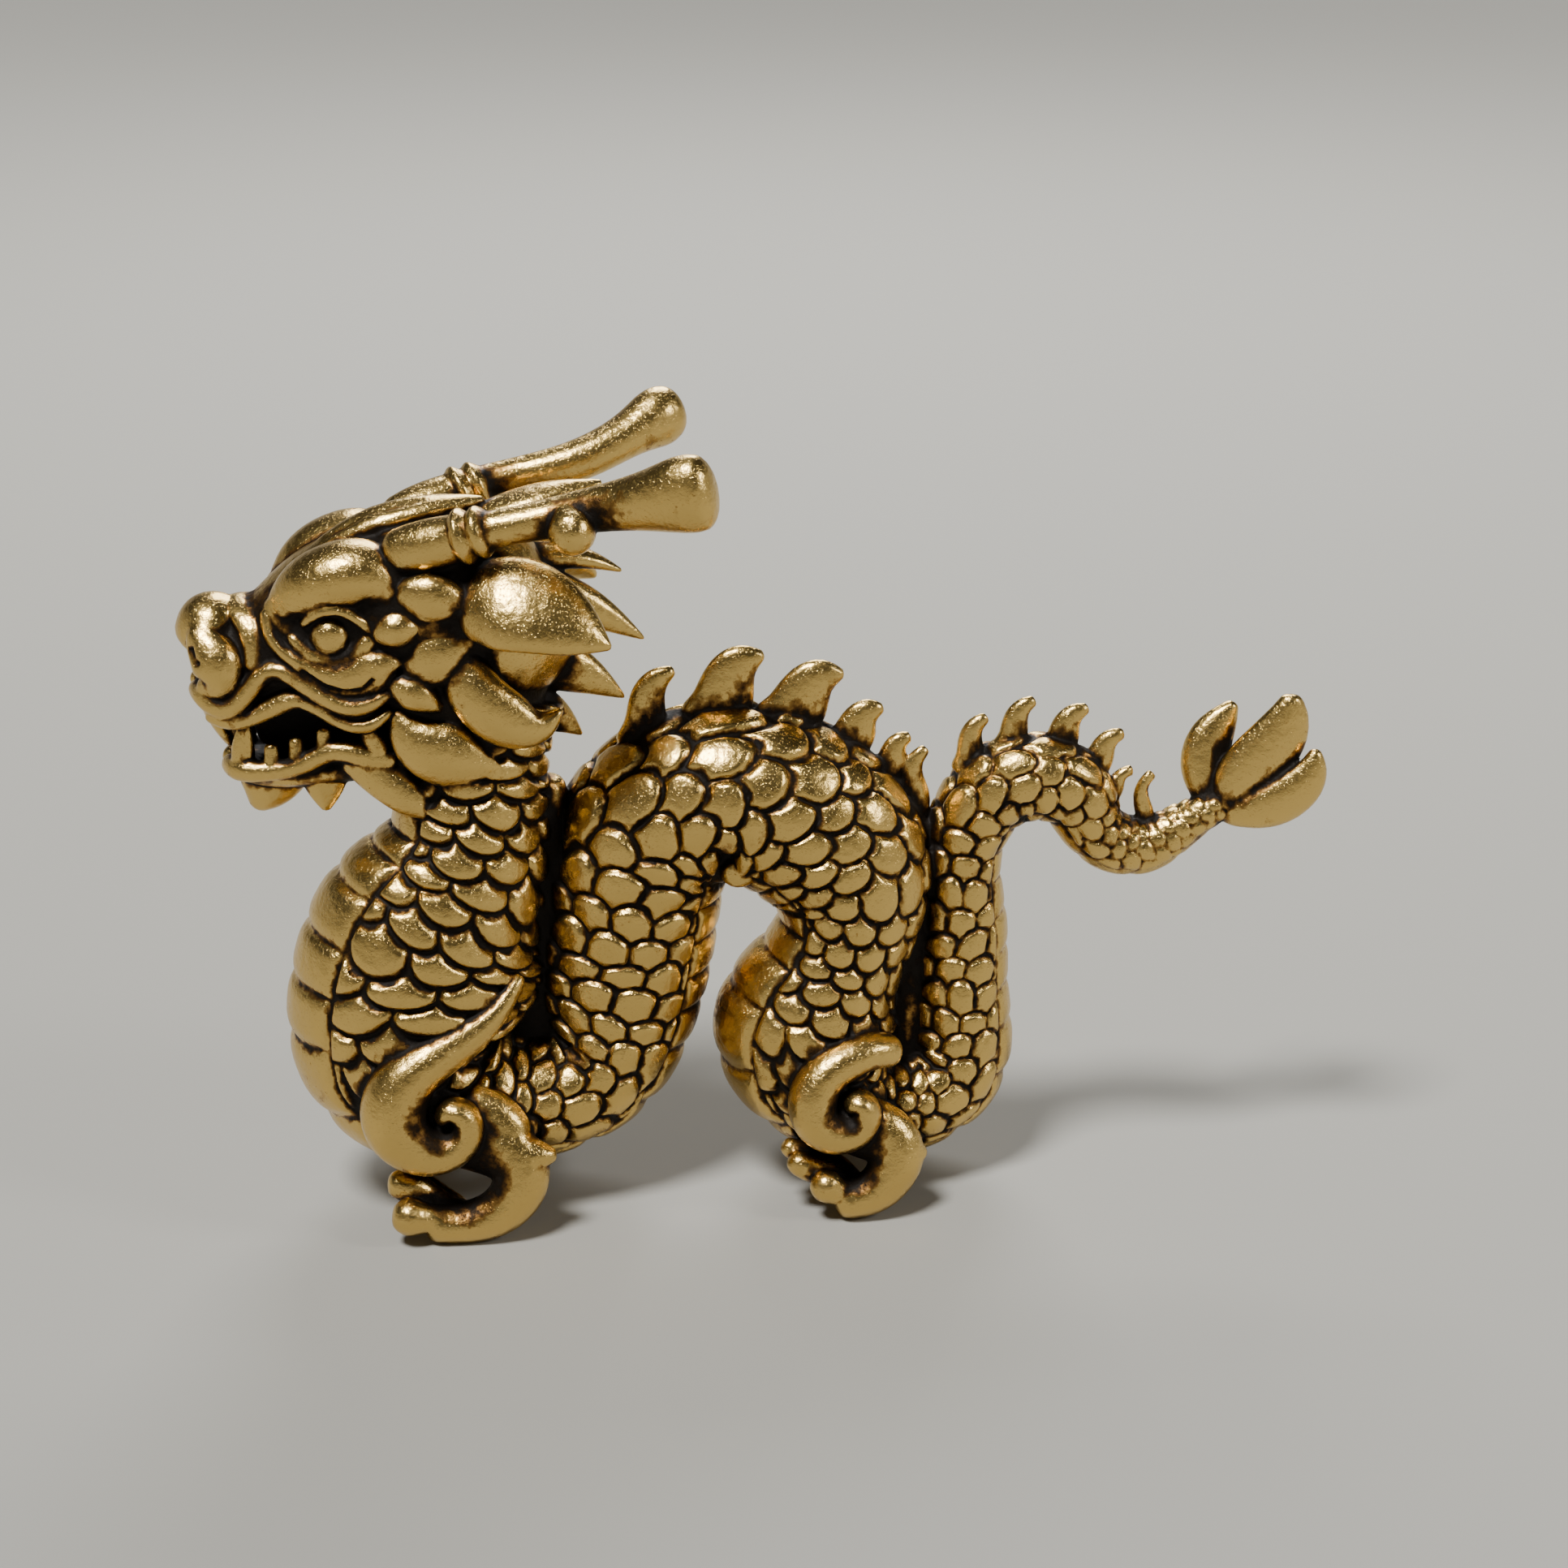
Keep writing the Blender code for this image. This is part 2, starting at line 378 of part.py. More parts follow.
def hind_leg():
    carve_pair("hind_flame", [(8.4, -6.0, 12.2, 0.9, 1.0), (5.4, -6.8, 12.4, 1.2, 1.6), (2.4, -7.4, 11.2, 1.4, 1.8),
                              (1.4, -7.8, 8.4, 1.5, 1.9), (2.9, -8.0, 5.9, 1.5, 1.8), (5.6, -8.0, 5.9, 1.2, 1.6),
                              (6.4, -8.0, 7.9, 1.0, 1.5), (5.0, -8.0, 8.6, 0.7, 1.2)], far_shift=FAR_HIND_STEP)
    carve_pair("hind_arm", [(3.8, -6.6, 8.4, 1.8, 1.8), (6.8, -6.9, 6.9, 1.7, 1.7), (9.4, -7.7, 5.0, 1.4, 1.5),
                            (8.9, -8.1, 2.7, 1.3, 1.5), (6.8, -8.2, FOOT_HEIGHT, FOOT_HALF, 1.8),
                            (4.4, -8.1, FOOT_HEIGHT, FOOT_HALF, 1.8)], far_shift=FAR_HIND_STEP)
    for k, (y, reach) in enumerate([(-9.0, 0.0), (-7.4, 1.2), (-6.0, 1.3)]):
        carve_pair(f"hind_toe_{k + 1}", [(5.6, (y - 8.0) / 2, 1.2, 0.9, 0.9), (4.2, y, 1.7, 0.85, 0.85),
                                         (2.8 - reach, y, 2.9, 0.95, 0.9)],
                   UP, sides=5, far_shift=FAR_HIND_STEP)


def tail_fin():
    carve("fin_rear_lobe", [(31.9, 0.4, 27.0, 0.6, 0.7), (31.3, 1.2, 29.2, 1.3, 0.9), (31.8, 1.7, 31.6, 1.3, 0.8),
                            (33.6, 1.9, 34.2, 0.25, 0.3)], sides=5)
    carve("fin_middle_lobe", [(32.6, 0.0, 27.2, 0.8, 0.8), (34.0, -0.1, 29.3, 1.5, 0.9),
                              (36.1, -0.3, 31.7, 1.6, 0.8), (37.3, -0.4, 33.9, 1.0, 0.6),
                              (37.2, -0.4, 35.6, 0.25, 0.3)], sides=5)
    carve("fin_lower_lobe", [(32.9, -0.2, 26.7, 0.8, 0.8), (35.5, -0.8, 26.9, 1.2, 0.9),
                             (37.8, -1.2, 28.2, 1.4, 0.8), (39.05, -1.3, 30.0, 1.0, 0.6),
                             (38.8, -1.2, 31.6, 0.2, 0.3)], sides=5)


# The casting: every form joined in one solid, and its feet ground flat

def brass():
    metal = bpy.data.materials.new("antique_brass")
    metal.use_nodes = True
    shader = metal.node_tree.nodes["Principled BSDF"]
    shader.inputs["Base Color"].default_value = (0.52, 0.33, 0.11, 1.0)
    shader.inputs["Metallic"].default_value = 1.0
    shader.inputs["Roughness"].default_value = 0.34
    return metal


def grinding_block():
    """A block whose top is the ground, which takes SOLE_CUT off every sole."""
    mesh = bmesh.new()
    bmesh.ops.create_cube(mesh, size=1.0)
    depth = 0.1 * LENGTH
    bmesh.ops.scale(mesh, vec=(1.5 * LENGTH, LENGTH, depth), verts=mesh.verts)
    bmesh.ops.translate(mesh, vec=(0, 0, -depth / 2), verts=mesh.verts)
    block = named_object("grinding_block", mesh)
    bpy.context.scene.collection.objects.link(block)
    return block


def cast():
    dragon = scaled_coil("dragon", FRONT_COIL, FRONT_SCALES, FRONT_ROW)
    bpy.context.scene.collection.objects.link(dragon)
    FORMS.objects.link(scaled_coil("middle_coil", MIDDLE_COIL, MIDDLE_SCALES, MIDDLE_ROW))
    FORMS.objects.link(scaled_coil("tail_coil", TAIL_COIL, TAIL_SCALES, TAIL_ROW))
    back_spines()
    crease_webs()
    head_masses()
    head_ridges()
    cheek_and_mane()
    horns()
    teeth()
    front_leg()
    hind_leg()
    tail_fin()
    block = grinding_block()
    for guide in list(FORMS.objects) + [block]:
        guide.hide_render = True
        guide.display_type = "WIRE"
    union = dragon.modifiers.new("join the forms", "BOOLEAN")
    union.operation = "UNION"
    union.operand_type = "COLLECTION"
    union.collection = FORMS
    union.solver = "EXACT"
    union.use_self = True
    sole = dragon.modifiers.new("grind the soles", "BOOLEAN")
    sole.operation = "DIFFERENCE"
    sole.object = block
    sole.solver = "EXACT"
    dragon.data.materials.append(brass())
    dragon.data.shade_smooth()


cast()
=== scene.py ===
import math

import bpy
import numpy as np
from mathutils import Matrix, Vector
from mathutils.bvhtree import BVHTree


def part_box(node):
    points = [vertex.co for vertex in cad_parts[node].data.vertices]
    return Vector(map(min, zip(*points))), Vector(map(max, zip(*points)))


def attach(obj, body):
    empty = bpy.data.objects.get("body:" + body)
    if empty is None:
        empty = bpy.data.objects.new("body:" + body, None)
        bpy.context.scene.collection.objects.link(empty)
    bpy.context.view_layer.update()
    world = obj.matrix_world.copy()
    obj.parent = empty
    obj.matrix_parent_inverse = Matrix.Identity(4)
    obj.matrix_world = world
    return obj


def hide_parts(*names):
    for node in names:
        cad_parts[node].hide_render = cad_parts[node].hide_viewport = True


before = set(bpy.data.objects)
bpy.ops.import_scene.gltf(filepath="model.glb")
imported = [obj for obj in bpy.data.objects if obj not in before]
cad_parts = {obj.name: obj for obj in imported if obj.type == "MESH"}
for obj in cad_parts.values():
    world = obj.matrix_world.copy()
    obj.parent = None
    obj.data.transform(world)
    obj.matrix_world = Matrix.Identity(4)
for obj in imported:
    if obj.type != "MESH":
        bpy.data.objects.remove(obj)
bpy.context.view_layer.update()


# The scaled body
# One long round coil from the nape to the tail fin, solid brass, with the scales cut in the wax model by
# hand before casting: fish scales on the neck and chest, squarer ones on the rising coil, small ones on
# the tail, and broad plates across the belly. It is cast in one with everything that follows.

NEAR, UP, TAILWARD = Vector((0, -1, 0)), Vector((0, 0, 1)), Vector((1, 0, 0))
FIGURE_LENGTH = 80.0
lowest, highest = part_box("dragon")
MM = (highest.x - lowest.x) / FIGURE_LENGTH  # the figure's sizes below are in millimetres

# The middle line: x, y, z, the half widths to the side, the back and the belly, then the width of a scale
# there, the spacing of its rows, and how far its free end is rounded out, as a share of that spacing.
BODY = [
    (-19.0, 0.0, 38.0, 5.0, 5.0, 5.0, 4.1, 1.65, 0.70), (-20.6, -0.5, 32.0, 5.2, 5.2, 5.2, 4.1, 1.65, 0.70),
    (-21.2, -0.9, 26.8, 5.7, 5.9, 5.2, 4.0, 1.70, 0.70), (-23.6, -1.2, 21.6, 6.8, 8.0, 7.5, 4.1, 1.85, 0.70),
    (-24.8, -1.2, 16.6, 7.2, 8.4, 8.6, 4.2, 1.95, 0.70), (-24.2, -0.8, 11.4, 7.2, 6.6, 8.6, 4.0, 2.00, 0.60),
    (-19.2, 0.0, 8.0, 7.0, 5.0, 5.6, 3.4, 2.20, 0.50), (-12.4, 0.8, 9.6, 6.4, 4.8, 5.2, 3.1, 2.20, 0.50),
    (-10.4, 1.2, 15.0, 6.2, 6.4, 6.0, 3.0, 2.15, 0.50), (-9.3, 1.0, 21.0, 6.2, 6.7, 6.0, 3.1, 2.15, 0.52),
    (-7.6, 0.6, 26.6, 6.3, 6.7, 6.0, 3.4, 2.15, 0.58), (-3.0, 0.0, 29.3, 6.4, 6.3, 6.3, 3.6, 2.05, 0.62),
    (2.2, -0.4, 27.2, 6.2, 6.8, 5.8, 3.3, 1.95, 0.60), (5.5, -0.8, 22.4, 5.8, 6.1, 5.2, 2.8, 1.75, 0.60),
    (4.9, -1.0, 17.6, 5.6, 4.8, 4.7, 2.9, 1.60, 0.62), (3.2, -0.8, 11.6, 6.4, 6.2, 6.9, 3.0, 1.65, 0.62),
    (6.6, -0.2, 6.6, 6.2, 3.9, 4.8, 2.8, 1.70, 0.55), (12.6, 0.7, 7.6, 5.0, 3.6, 4.6, 2.6, 1.85, 0.50),
    (13.9, 1.0, 13.2, 4.2, 3.7, 3.7, 2.5, 1.95, 0.50), (14.0, 0.8, 19.0, 3.5, 3.2, 3.3, 2.4, 1.95, 0.50),
    (14.3, 0.4, 25.0, 3.0, 3.0, 2.7, 2.4, 1.85, 0.52), (17.6, 0.0, 29.5, 3.1, 3.1, 3.1, 2.4, 1.75, 0.52),
    (21.7, 0.0, 28.4, 2.8, 2.9, 2.7, 2.1, 1.65, 0.52), (23.6, 0.0, 25.4, 2.3, 2.2, 2.2, 1.8, 1.35, 0.50),
    (26.6, 0.0, 24.2, 2.0, 2.0, 2.1, 1.5, 1.10, 0.45), (30.0, 0.0, 25.7, 1.5, 1.5, 1.5, 1.3, 0.95, 0.45),
    (32.8, 0.0, 27.3, 1.1, 1.1, 1.1, 1.2, 0.95, 0.45),
]
BEND_LIMIT = 0.85  # the half width inside a bend, at most, as a share of the bend's radius
BELLY_HALF_ANGLE = math.radians(46)
PLATE_SPACING = 2.75
PLATE_RELIEF = 0.42
PLATE_GROOVE_HALF_WIDTH = 0.14
PLATE_EDGE_RADIUS = 0.9
GROOVE_HALF_WIDTH = 0.042  # this and the next as a share of the width of a scale
SCALE_EDGE_RADIUS = 0.12
STEEPEST_END = 2.5  # of the outline of a scale's free end, where it runs into the gap beside the next
WORKED_GRAIN = 0.15  # spacing of the points of the worked surface


def smooth_run(stations, per_span):
    """Points on the natural cubic spline through the stations, every column interpolated alike."""
    rows = np.array(stations, float)
    count = len(rows)
    span = np.linalg.norm(np.diff(rows[:, :3], axis=0), axis=1)
    matrix, wanted = np.eye(count), np.zeros_like(rows)
    for k in range(1, count - 1):
        matrix[k, k - 1:k + 2] = span[k - 1], 2 * (span[k - 1] + span[k]), span[k]
        wanted[k] = 6 * ((rows[k + 1] - rows[k]) / span[k] - (rows[k] - rows[k - 1]) / span[k - 1])
    bend = np.linalg.solve(matrix, wanted)
    run = []
    for k in range(count - 1):
        for t in np.arange(per_span) / per_span:
            s = 1 - t
            run.append(s * rows[k] + t * rows[k + 1]
                       + span[k]**2 / 6 * ((s**3 - s) * bend[k] + (t**3 - t) * bend[k + 1]))
    run.append(rows[-1])
    return np.array(run)


def body_line():
    """The middle line at even steps: its rows, its course, and the directions across it and to its back."""
    run = smooth_run(BODY, 24)
    course = np.gradient(run[:, :3], axis=0)
    pace = np.linalg.norm(course, axis=1, keepdims=True)
    course /= pace
    across = np.array([0.0, 1.0, 0.0]) - course * course[:, 1:2]
    across /= np.linalg.norm(across, axis=1, keepdims=True)
    back = np.cross(course, across)
    curve = np.sum(np.gradient(course, axis=0) / pace * back, axis=1)
    room = BEND_LIMIT / np.maximum(np.abs(curve), 1e-6)
    for column, inside in ((4, curve > 0), (5, curve < 0)):
        run[:, column] = np.where(inside, np.minimum(run[:, column], room), run[:, column])
    length = np.concatenate([[0], np.cumsum(np.linalg.norm(np.diff(run[:, :3], axis=0), axis=1))])
    even = np.linspace(0, length[-1], int(length[-1] / WORKED_GRAIN))
    return even, [np.column_stack([np.interp(even, length, column) for column in table.T])
                  for table in (run, course, across, back)]


def rounded_edge(distance, groove, radius):
    """From 0 in a groove of that half width to 1 on the flat, rising in a quarter round."""
    share = np.clip((distance - groove) / radius, 0, 1)
    return np.sqrt(1 - (1 - share)**2)


def scale_relief(length, run, turn):
    """For every step of the line and every turn round it: the height of the carved surface over the plain
    coil, how far the nearest groove is as a share of a scale's width, and a tone from 0 to 1 that each scale
    has of its own."""
    side, wide, spacing, bulge = (run[:, k][:, None] for k in (3, 6, 7, 8))
    step = np.gradient(length)[:, None]
    along_body = length[:, None]
    # The rows and columns wander a little, as they do when they are cut by hand.
    sway = 0.10 * np.sin(0.83 * along_body + 3.1 * turn) + 0.07 * np.sin(1.57 * along_body - 2.3 * turn)
    row = np.cumsum(step / spacing, axis=0) + sway
    column = turn * side / wide + 0.09 * np.sin(0.71 * along_body - 1.7 * turn + 0.6)

    def free_end(k):
        """Where the free ends of row k are, and how far each point is across its scale."""
        shift = 0.5 * (k % 2)
        off = column - np.round(column - shift) - shift
        drop = np.sqrt(np.maximum(1 - (2 * off)**2, 0.003))
        slope = np.minimum(bulge * 4 * np.abs(off) / drop * spacing / wide, STEEPEST_END)
        return k + bulge * drop, off, np.sqrt(1 + slope**2)

    k = np.floor(row)
    ends, off, lean = free_end(k)
    k = np.where(row < ends, k, k + 1)
    ends, off, lean = free_end(k)
    covers, _, cover_lean = free_end(k - 1)
    to_end = (ends - row) * spacing / lean
    to_cover = (row - covers) * spacing / cover_lean
    to_side = np.hypot((0.5 - np.abs(off)) * wide, np.maximum(row - k, 0) * spacing)
    to_belly = (math.pi - BELLY_HALF_ANGLE - np.abs(turn)) * side
    to_groove = np.minimum(np.minimum(to_end, to_cover), np.minimum(to_side, to_belly))
    chance = np.random.default_rng(7).uniform(-1, 1, (3, 211, 97))
    pick = (k.astype(int) % 211, np.round(column - 0.5 * (k % 2)).astype(int) % 97)
    relief = 0.10 + 0.11 * wide  # a wider scale stands higher
    along = (row - covers) / np.maximum(ends - covers, 0.05)
    tilt = 0.26 * (along - 0.4) + 0.06 * chance[0][pick] + 0.24 * chance[1][pick] * off
    edge = rounded_edge(to_groove, GROOVE_HALF_WIDTH * wide, SCALE_EDGE_RADIUS * wide)
    scales = relief * (edge * (1 + tilt) - 0.55)
    plate = np.cumsum(step / PLATE_SPACING, axis=0) + 0.15 * np.cos(turn)
    to_plate = (0.5 - np.abs(plate - np.floor(plate) - 0.5)) * PLATE_SPACING
    plate_edge = rounded_edge(np.minimum(to_plate, -to_belly), PLATE_GROOVE_HALF_WIDTH,
                               PLATE_EDGE_RADIUS)
    plates = PLATE_RELIEF * (plate_edge - 0.5) * side / 7
    scaly = to_belly > 0
    gap = np.where(scaly, to_groove / wide, np.minimum(to_plate, -to_belly) / 3)
    return np.where(scaly, scales, plates), gap, np.where(scaly, 0.5 + 0.5 * chance[2][pick], 0.5)


def link_form(name, corners, faces):
    data = bpy.data.meshes.new(name)
    data.from_pydata([tuple(corner) for corner in corners], [], faces)
    form = bpy.data.objects.new(name, data)
    bpy.context.scene.collection.objects.link(form)
    return form


def scaled_body():
    """The coil's object, and for each of its faces the distance to a groove and the tone of its scale."""
    length, (run, course, across, back) = body_line()
    sides = int(2 * math.pi * run[:, 3].max() / WORKED_GRAIN)
    turn = np.linspace(-math.pi, math.pi, sides, endpoint=False)[None, :]
    depth = np.where(np.cos(turn) > 0, run[:, 4][:, None], run[:, 5][:, None])
    out = (across[:, None, :] * (run[:, 3][:, None] * np.sin(turn))[..., None]
           + back[:, None, :] * (depth * np.cos(turn))[..., None])
    points = run[:, None, :3] + out
    height, gap, tone = scale_relief(length, run, turn)
    points += out / np.linalg.norm(out, axis=2, keepdims=True) * height[..., None]
    rings = len(length)
    first = np.arange(rings - 1)[:, None] * sides + np.arange(sides)[None, :]
    following = np.arange(rings - 1)[:, None] * sides + (np.arange(sides)[None, :] + 1) % sides
    faces = np.stack([first, following, following + sides, first + sides], axis=2).reshape(-1, 4).tolist()
    faces.append(list(range(sides))[::-1])
    faces.append(list(range((rings - 1) * sides, rings * sides)))
    gap = (gap + np.roll(gap, -1, axis=1)) / 2
    gap = np.append((gap[1:] + gap[:-1]).ravel() / 2, (1.0, 1.0))
    tone = np.append(tone[:-1].ravel(), (0.5, 0.5))
    return link_form("scaled_body", points.reshape(-1, 3) * MM, faces), gap, tone


body_form, scale_gap, scale_tone = scaled_body()
scale_tree = BVHTree.FromObject(body_form, bpy.context.evaluated_depsgraph_get())
forms = [body_form]


# The creases
# Where two coils touch, and at the inner bend of the arch, the bottom of the crease is filled with metal,
# which also keeps the wax together. Each is a rounded bar that shows only as a dark hollow.

def draw_out(stations, facing=NEAR, sides=12, spans=3):
    """A rounded form drawn out along its stations: x, y, z, half width and half depth in millimetres.
    Its depth lies along facing and its width across it. A ring is added at each end to round it off."""
    run = smooth_run(stations, spans)
    first, last = run[0].copy(), run[-1].copy()
    for tip, row, before in ((first, run[0], run[1]), (last, run[-1], run[-2])):
        way = (row[:3] - before[:3]) / np.linalg.norm(row[:3] - before[:3])
        tip[:3] += way * 0.45 * min(row[3], row[4])
        tip[3:5] *= 0.6
    run = np.vstack([first, run, last])
    run[:, 3:5] = np.maximum(run[:, 3:5], 0.06)
    loss = (4 + 2 * math.cos(2 * math.pi / sides)) / 6  # what the subdivision leaves of a ring
    centres = [Vector(row[:3]) * MM for row in run]
    bpy.ops.object.select_all(action="DESELECT")
    bpy.ops.mesh.primitive_circle_add(vertices=sides, radius=MM / loss, fill_type="NGON", enter_editmode=True)
    bpy.ops.transform.translate(value=centres[0])
    old, size = Matrix.Identity(3), (1.0, 1.0)
    for k, row in enumerate(run):
        if k:
            step = centres[k] - centres[k - 1]
            bpy.ops.mesh.extrude_region_move(TRANSFORM_OT_translate={"value": step})
        course = (centres[min(k + 1, len(run) - 1)] - centres[max(k - 1, 0)]).normalized()
        out = (facing - facing.dot(course) * course).normalized()
        new = Matrix((out.cross(course), out, course)).transposed()
        for axis, angle in zip("XYZ", (new @ old.transposed()).to_euler("XYZ")):
            bpy.ops.transform.rotate(value=-angle, orient_axis=axis, center_override=centres[k])
        bpy.ops.transform.resize(value=(row[3] / size[0], row[4] / size[1], 1), center_override=centres[k],
                                 orient_matrix=new, orient_matrix_type="GLOBAL", orient_type="GLOBAL")
        old, size = new, (row[3], row[4])
    bpy.ops.object.mode_set(mode="OBJECT")
    form = bpy.context.object
    form.modifiers.new("rounding", "SUBSURF").levels = 2
    form.modifiers["rounding"].render_levels = 2
    bpy.ops.object.modifier_apply(modifier="rounding")
    forms.append(form)
    return form


def both_sides(stations, facing=NEAR, sides=12, spans=3, far_step=0.0):
    """The same form on the near side and, mirrored, on the far side."""
    draw_out(stations, facing, sides, spans)
    mirrored = [(row[0] + far_step, -row[1], *row[2:]) for row in stations]
    draw_out(mirrored, Vector((facing.x, -facing.y, facing.z)), sides, spans)


draw_out([(-15.8, 0, 7.0, 3.0, 3.0), (-16.6, 0, 14.0, 2.4, 2.4), (-16.0, 0, 22.0, 2.2, 2.2),
          (-15.2, 0, 30.5, 1.4, 1.5)])
draw_out([(-2.3, -4.6, 25.0, 1.3, 1.2), (-2.3, 0, 25.0, 1.6, 1.5), (-2.3, 4.6, 25.0, 1.3, 1.2)], UP)
draw_out([(9.9, 0, 5.0, 2.4, 2.6), (10.0, 0, 13.0, 2.0, 2.0), (11.2, 0, 26.5, 1.0, 1.0)])


# The spines of the back
# Twelve flat hooked blades in one row along the back, six over the arch and six down the tail, modelled
# one by one and set in the wax, each leaning towards the tail and worn bright at its tip.

SPINES = [  # the x and z of the root and of the tip, then the width at the root
    ((-8.6, 34.2), (-6.3, 38.7), 2.8), ((-3.4, 35.4), (0.0, 39.6), 4.2), ((1.6, 34.7), (5.6, 38.0), 4.2),
    ((5.9, 32.9), (8.3, 35.3), 3.0), ((8.7, 31.0), (10.2, 33.1), 2.0), ((10.6, 28.0), (11.3, 32.3), 1.9),
    ((14.3, 31.2), (15.6, 34.4), 1.9), ((17.3, 32.5), (19.0, 35.5), 2.0), ((20.7, 31.9), (22.8, 34.8), 2.3),
    ((23.4, 30.4), (25.4, 32.8), 2.0), ((24.6, 28.2), (26.1, 30.0), 1.3), ((27.0, 26.2), (27.5, 29.8), 1.3),
]
SPINE_HALF_THICKNESS = 0.95
widest = max(width for root, tip, width in SPINES)
for root, tip, width in SPINES:
    root, tip = Vector((root[0], 0, root[1])), Vector((tip[0], 0, tip[1]))
    rise = tip - root
    hook = Vector((-rise.z, 0, rise.x)) * 0.13
    thick = SPINE_HALF_THICKNESS * (0.4 + 0.6 * width / widest)
    draw_out([(*(root - rise * 0.30), width * 0.52, thick), (*(root + rise * 0.10), width * 0.52, thick),
              (*(root + rise * 0.42 + hook), width * 0.45, thick * 0.9),
              (*(root + rise * 0.72 + hook), width * 0.33, thick * 0.75),
              (*(root + rise * 0.93), 0.42, thick * 0.5)])


# The head: skull, jaws and mouth
# The masses of the head, modelled round over the end of the neck: a domed skull, full jaw muscles, an open
# mouth painted dark inside as shade, and a beaked upper jaw that hangs over the lower one.

# the skull, from the nape to the end of the snout
draw_out([(-15.4, 0, 43.0, 2.4, 2.6), (-17.4, 0, 43.6, 4.6, 5.0), (-21.5, 0, 44.2, 6.1, 6.2),
          (-26.0, 0, 44.2, 5.9, 5.4), (-29.4, 0, 43.8, 4.8, 4.6), (-32.4, 0, 42.0, 4.3, 3.9),
          (-35.0, 0, 41.0, 3.5, 3.4), (-38.0, 0, 40.8, 2.7, 2.7)], UP)
# the crown
draw_out([(-19.6, 0, 47.4, 4.6, 2.0), (-22.6, 0, 47.6, 5.2, 2.4), (-26.0, 0, 47.4, 4.6, 2.4)], UP)
# the back of the head
draw_out([(-13.6, 0, 42.6, 2.0, 2.6), (-15.8, 0, 42.2, 4.4, 4.6), (-19.0, 0, 41.8, 5.5, 5.4)], UP)
# the jaw muscles
draw_out([(-17.0, 0, 40.5, 3.4, 3.4), (-19.5, 0, 39.0, 5.2, 5.4), (-23.5, 0, 38.4, 5.3, 4.8),
          (-26.4, 0, 37.4, 4.6, 3.2)], UP)
# the lower jaw
draw_out([(-24.0, 0, 34.0, 4.4, 2.2), (-28.0, 0, 33.4, 4.1, 1.7), (-31.0, 0, 32.8, 3.5, 1.4),
          (-34.2, 0, 32.5, 2.9, 1.2), (-36.3, 0, 32.7, 1.9, 1.0)], UP)
# a thin wall inside the mouth, painted dark as shade with the rest of the mouth's inside
draw_out([(-24.0, 0, 36.0, 3.0, 2.2), (-29.0, 0, 35.8, 3.0, 1.0), (-32.5, 0, 36.0, 2.6, 0.6),
          (-35.0, 0, 35.6, 1.6, 0.5)])
# the upper jaw
draw_out([(-26.0, 0, 39.4, 4.5, 2.2), (-30.0, 0, 40.0, 4.5, 2.3), (-33.5, 0, 39.9, 3.7, 2.4),
          (-36.0, 0, 39.4, 3.1, 2.3), (-38.2, 0, 38.9, 2.0, 1.4)], UP)
# the beak
draw_out([(-38.4, 0, 38.6, 1.9, 0.7), (-37.8, 0, 36.6, 1.7, 0.7), (-36.7, 0, 34.4, 0.9, 0.5)], -TAILWARD)


# The nose
# A round bulb in front with a drop-shaped nostril wing curled on each side, and two folds of skin
# drawn over the snout behind it.

# the bulb
draw_out([(-36.1, 0, 42.3, 1.6, 1.4), (-37.0, 0, 42.8, 2.5, 2.1), (-38.2, 0, 42.6, 2.5, 2.2),
          (-39.3, 0, 41.9, 1.5, 1.4)], UP)
# the nostril wings
both_sides([(-38.5, -1.8, 42.9, 1.0, 0.9), (-37.9, -2.5, 41.9, 1.5, 1.2), (-37.2, -3.0, 40.6, 1.75, 1.4),
            (-37.3, -2.9, 39.5, 1.3, 1.1), (-38.4, -2.3, 39.1, 0.7, 0.7)])
# the folds over the snout
for x, reach in ((-35.5, 1.0), (-34.1, 1.06)):
    arc = [math.radians(a) for a in (-100, -50, 0, 50, 100)]
    draw_out([(x - 0.4 + 1.5 * abs(math.sin(a)), 3.5 * reach * math.sin(a), 41.2 + 3.1 * reach * math.cos(a),
               0.55, 1.1) for a in arc], TAILWARD)


# Lips, eye bands, eyes and brows
# Raised cords of wax laid on each side of the face: the lip rises behind the nose, dips and runs back, with
# a second edge below it, and a broad band swings under the eye to a leaf-shaped end.

# the upper lip
both_sides([(-38.9, -0.8, 38.6, 0.6, 0.6), (-38.3, -2.4, 38.4, 0.75, 0.8), (-37.1, -3.1, 37.8, 0.8, 0.8),
            (-35.9, -3.4, 38.4, 0.75, 0.8), (-34.7, -3.6, 39.9, 0.7, 0.8), (-33.4, -3.9, 40.7, 0.7, 0.8),
            (-31.6, -4.4, 39.9, 0.75, 0.9), (-29.8, -4.8, 38.8, 0.75, 0.9), (-28.2, -5.1, 38.3, 0.75, 0.9),
            (-26.7, -5.2, 38.8, 0.6, 0.8), (-25.6, -5.2, 39.4, 0.25, 0.4)])
# its second edge
both_sides([(-38.0, -2.3, 37.1, 0.55, 0.6), (-36.6, -3.0, 36.8, 0.6, 0.7), (-35.0, -3.3, 37.3, 0.7, 0.8),
            (-33.4, -3.6, 38.1, 0.75, 0.85), (-32.1, -3.9, 38.6, 0.7, 0.9), (-30.4, -4.3, 37.9, 0.6, 0.95),
            (-28.7, -4.6, 37.0, 0.6, 1.0), (-27.2, -4.9, 37.0, 0.6, 0.9), (-25.9, -5.0, 37.9, 0.3, 0.5)])
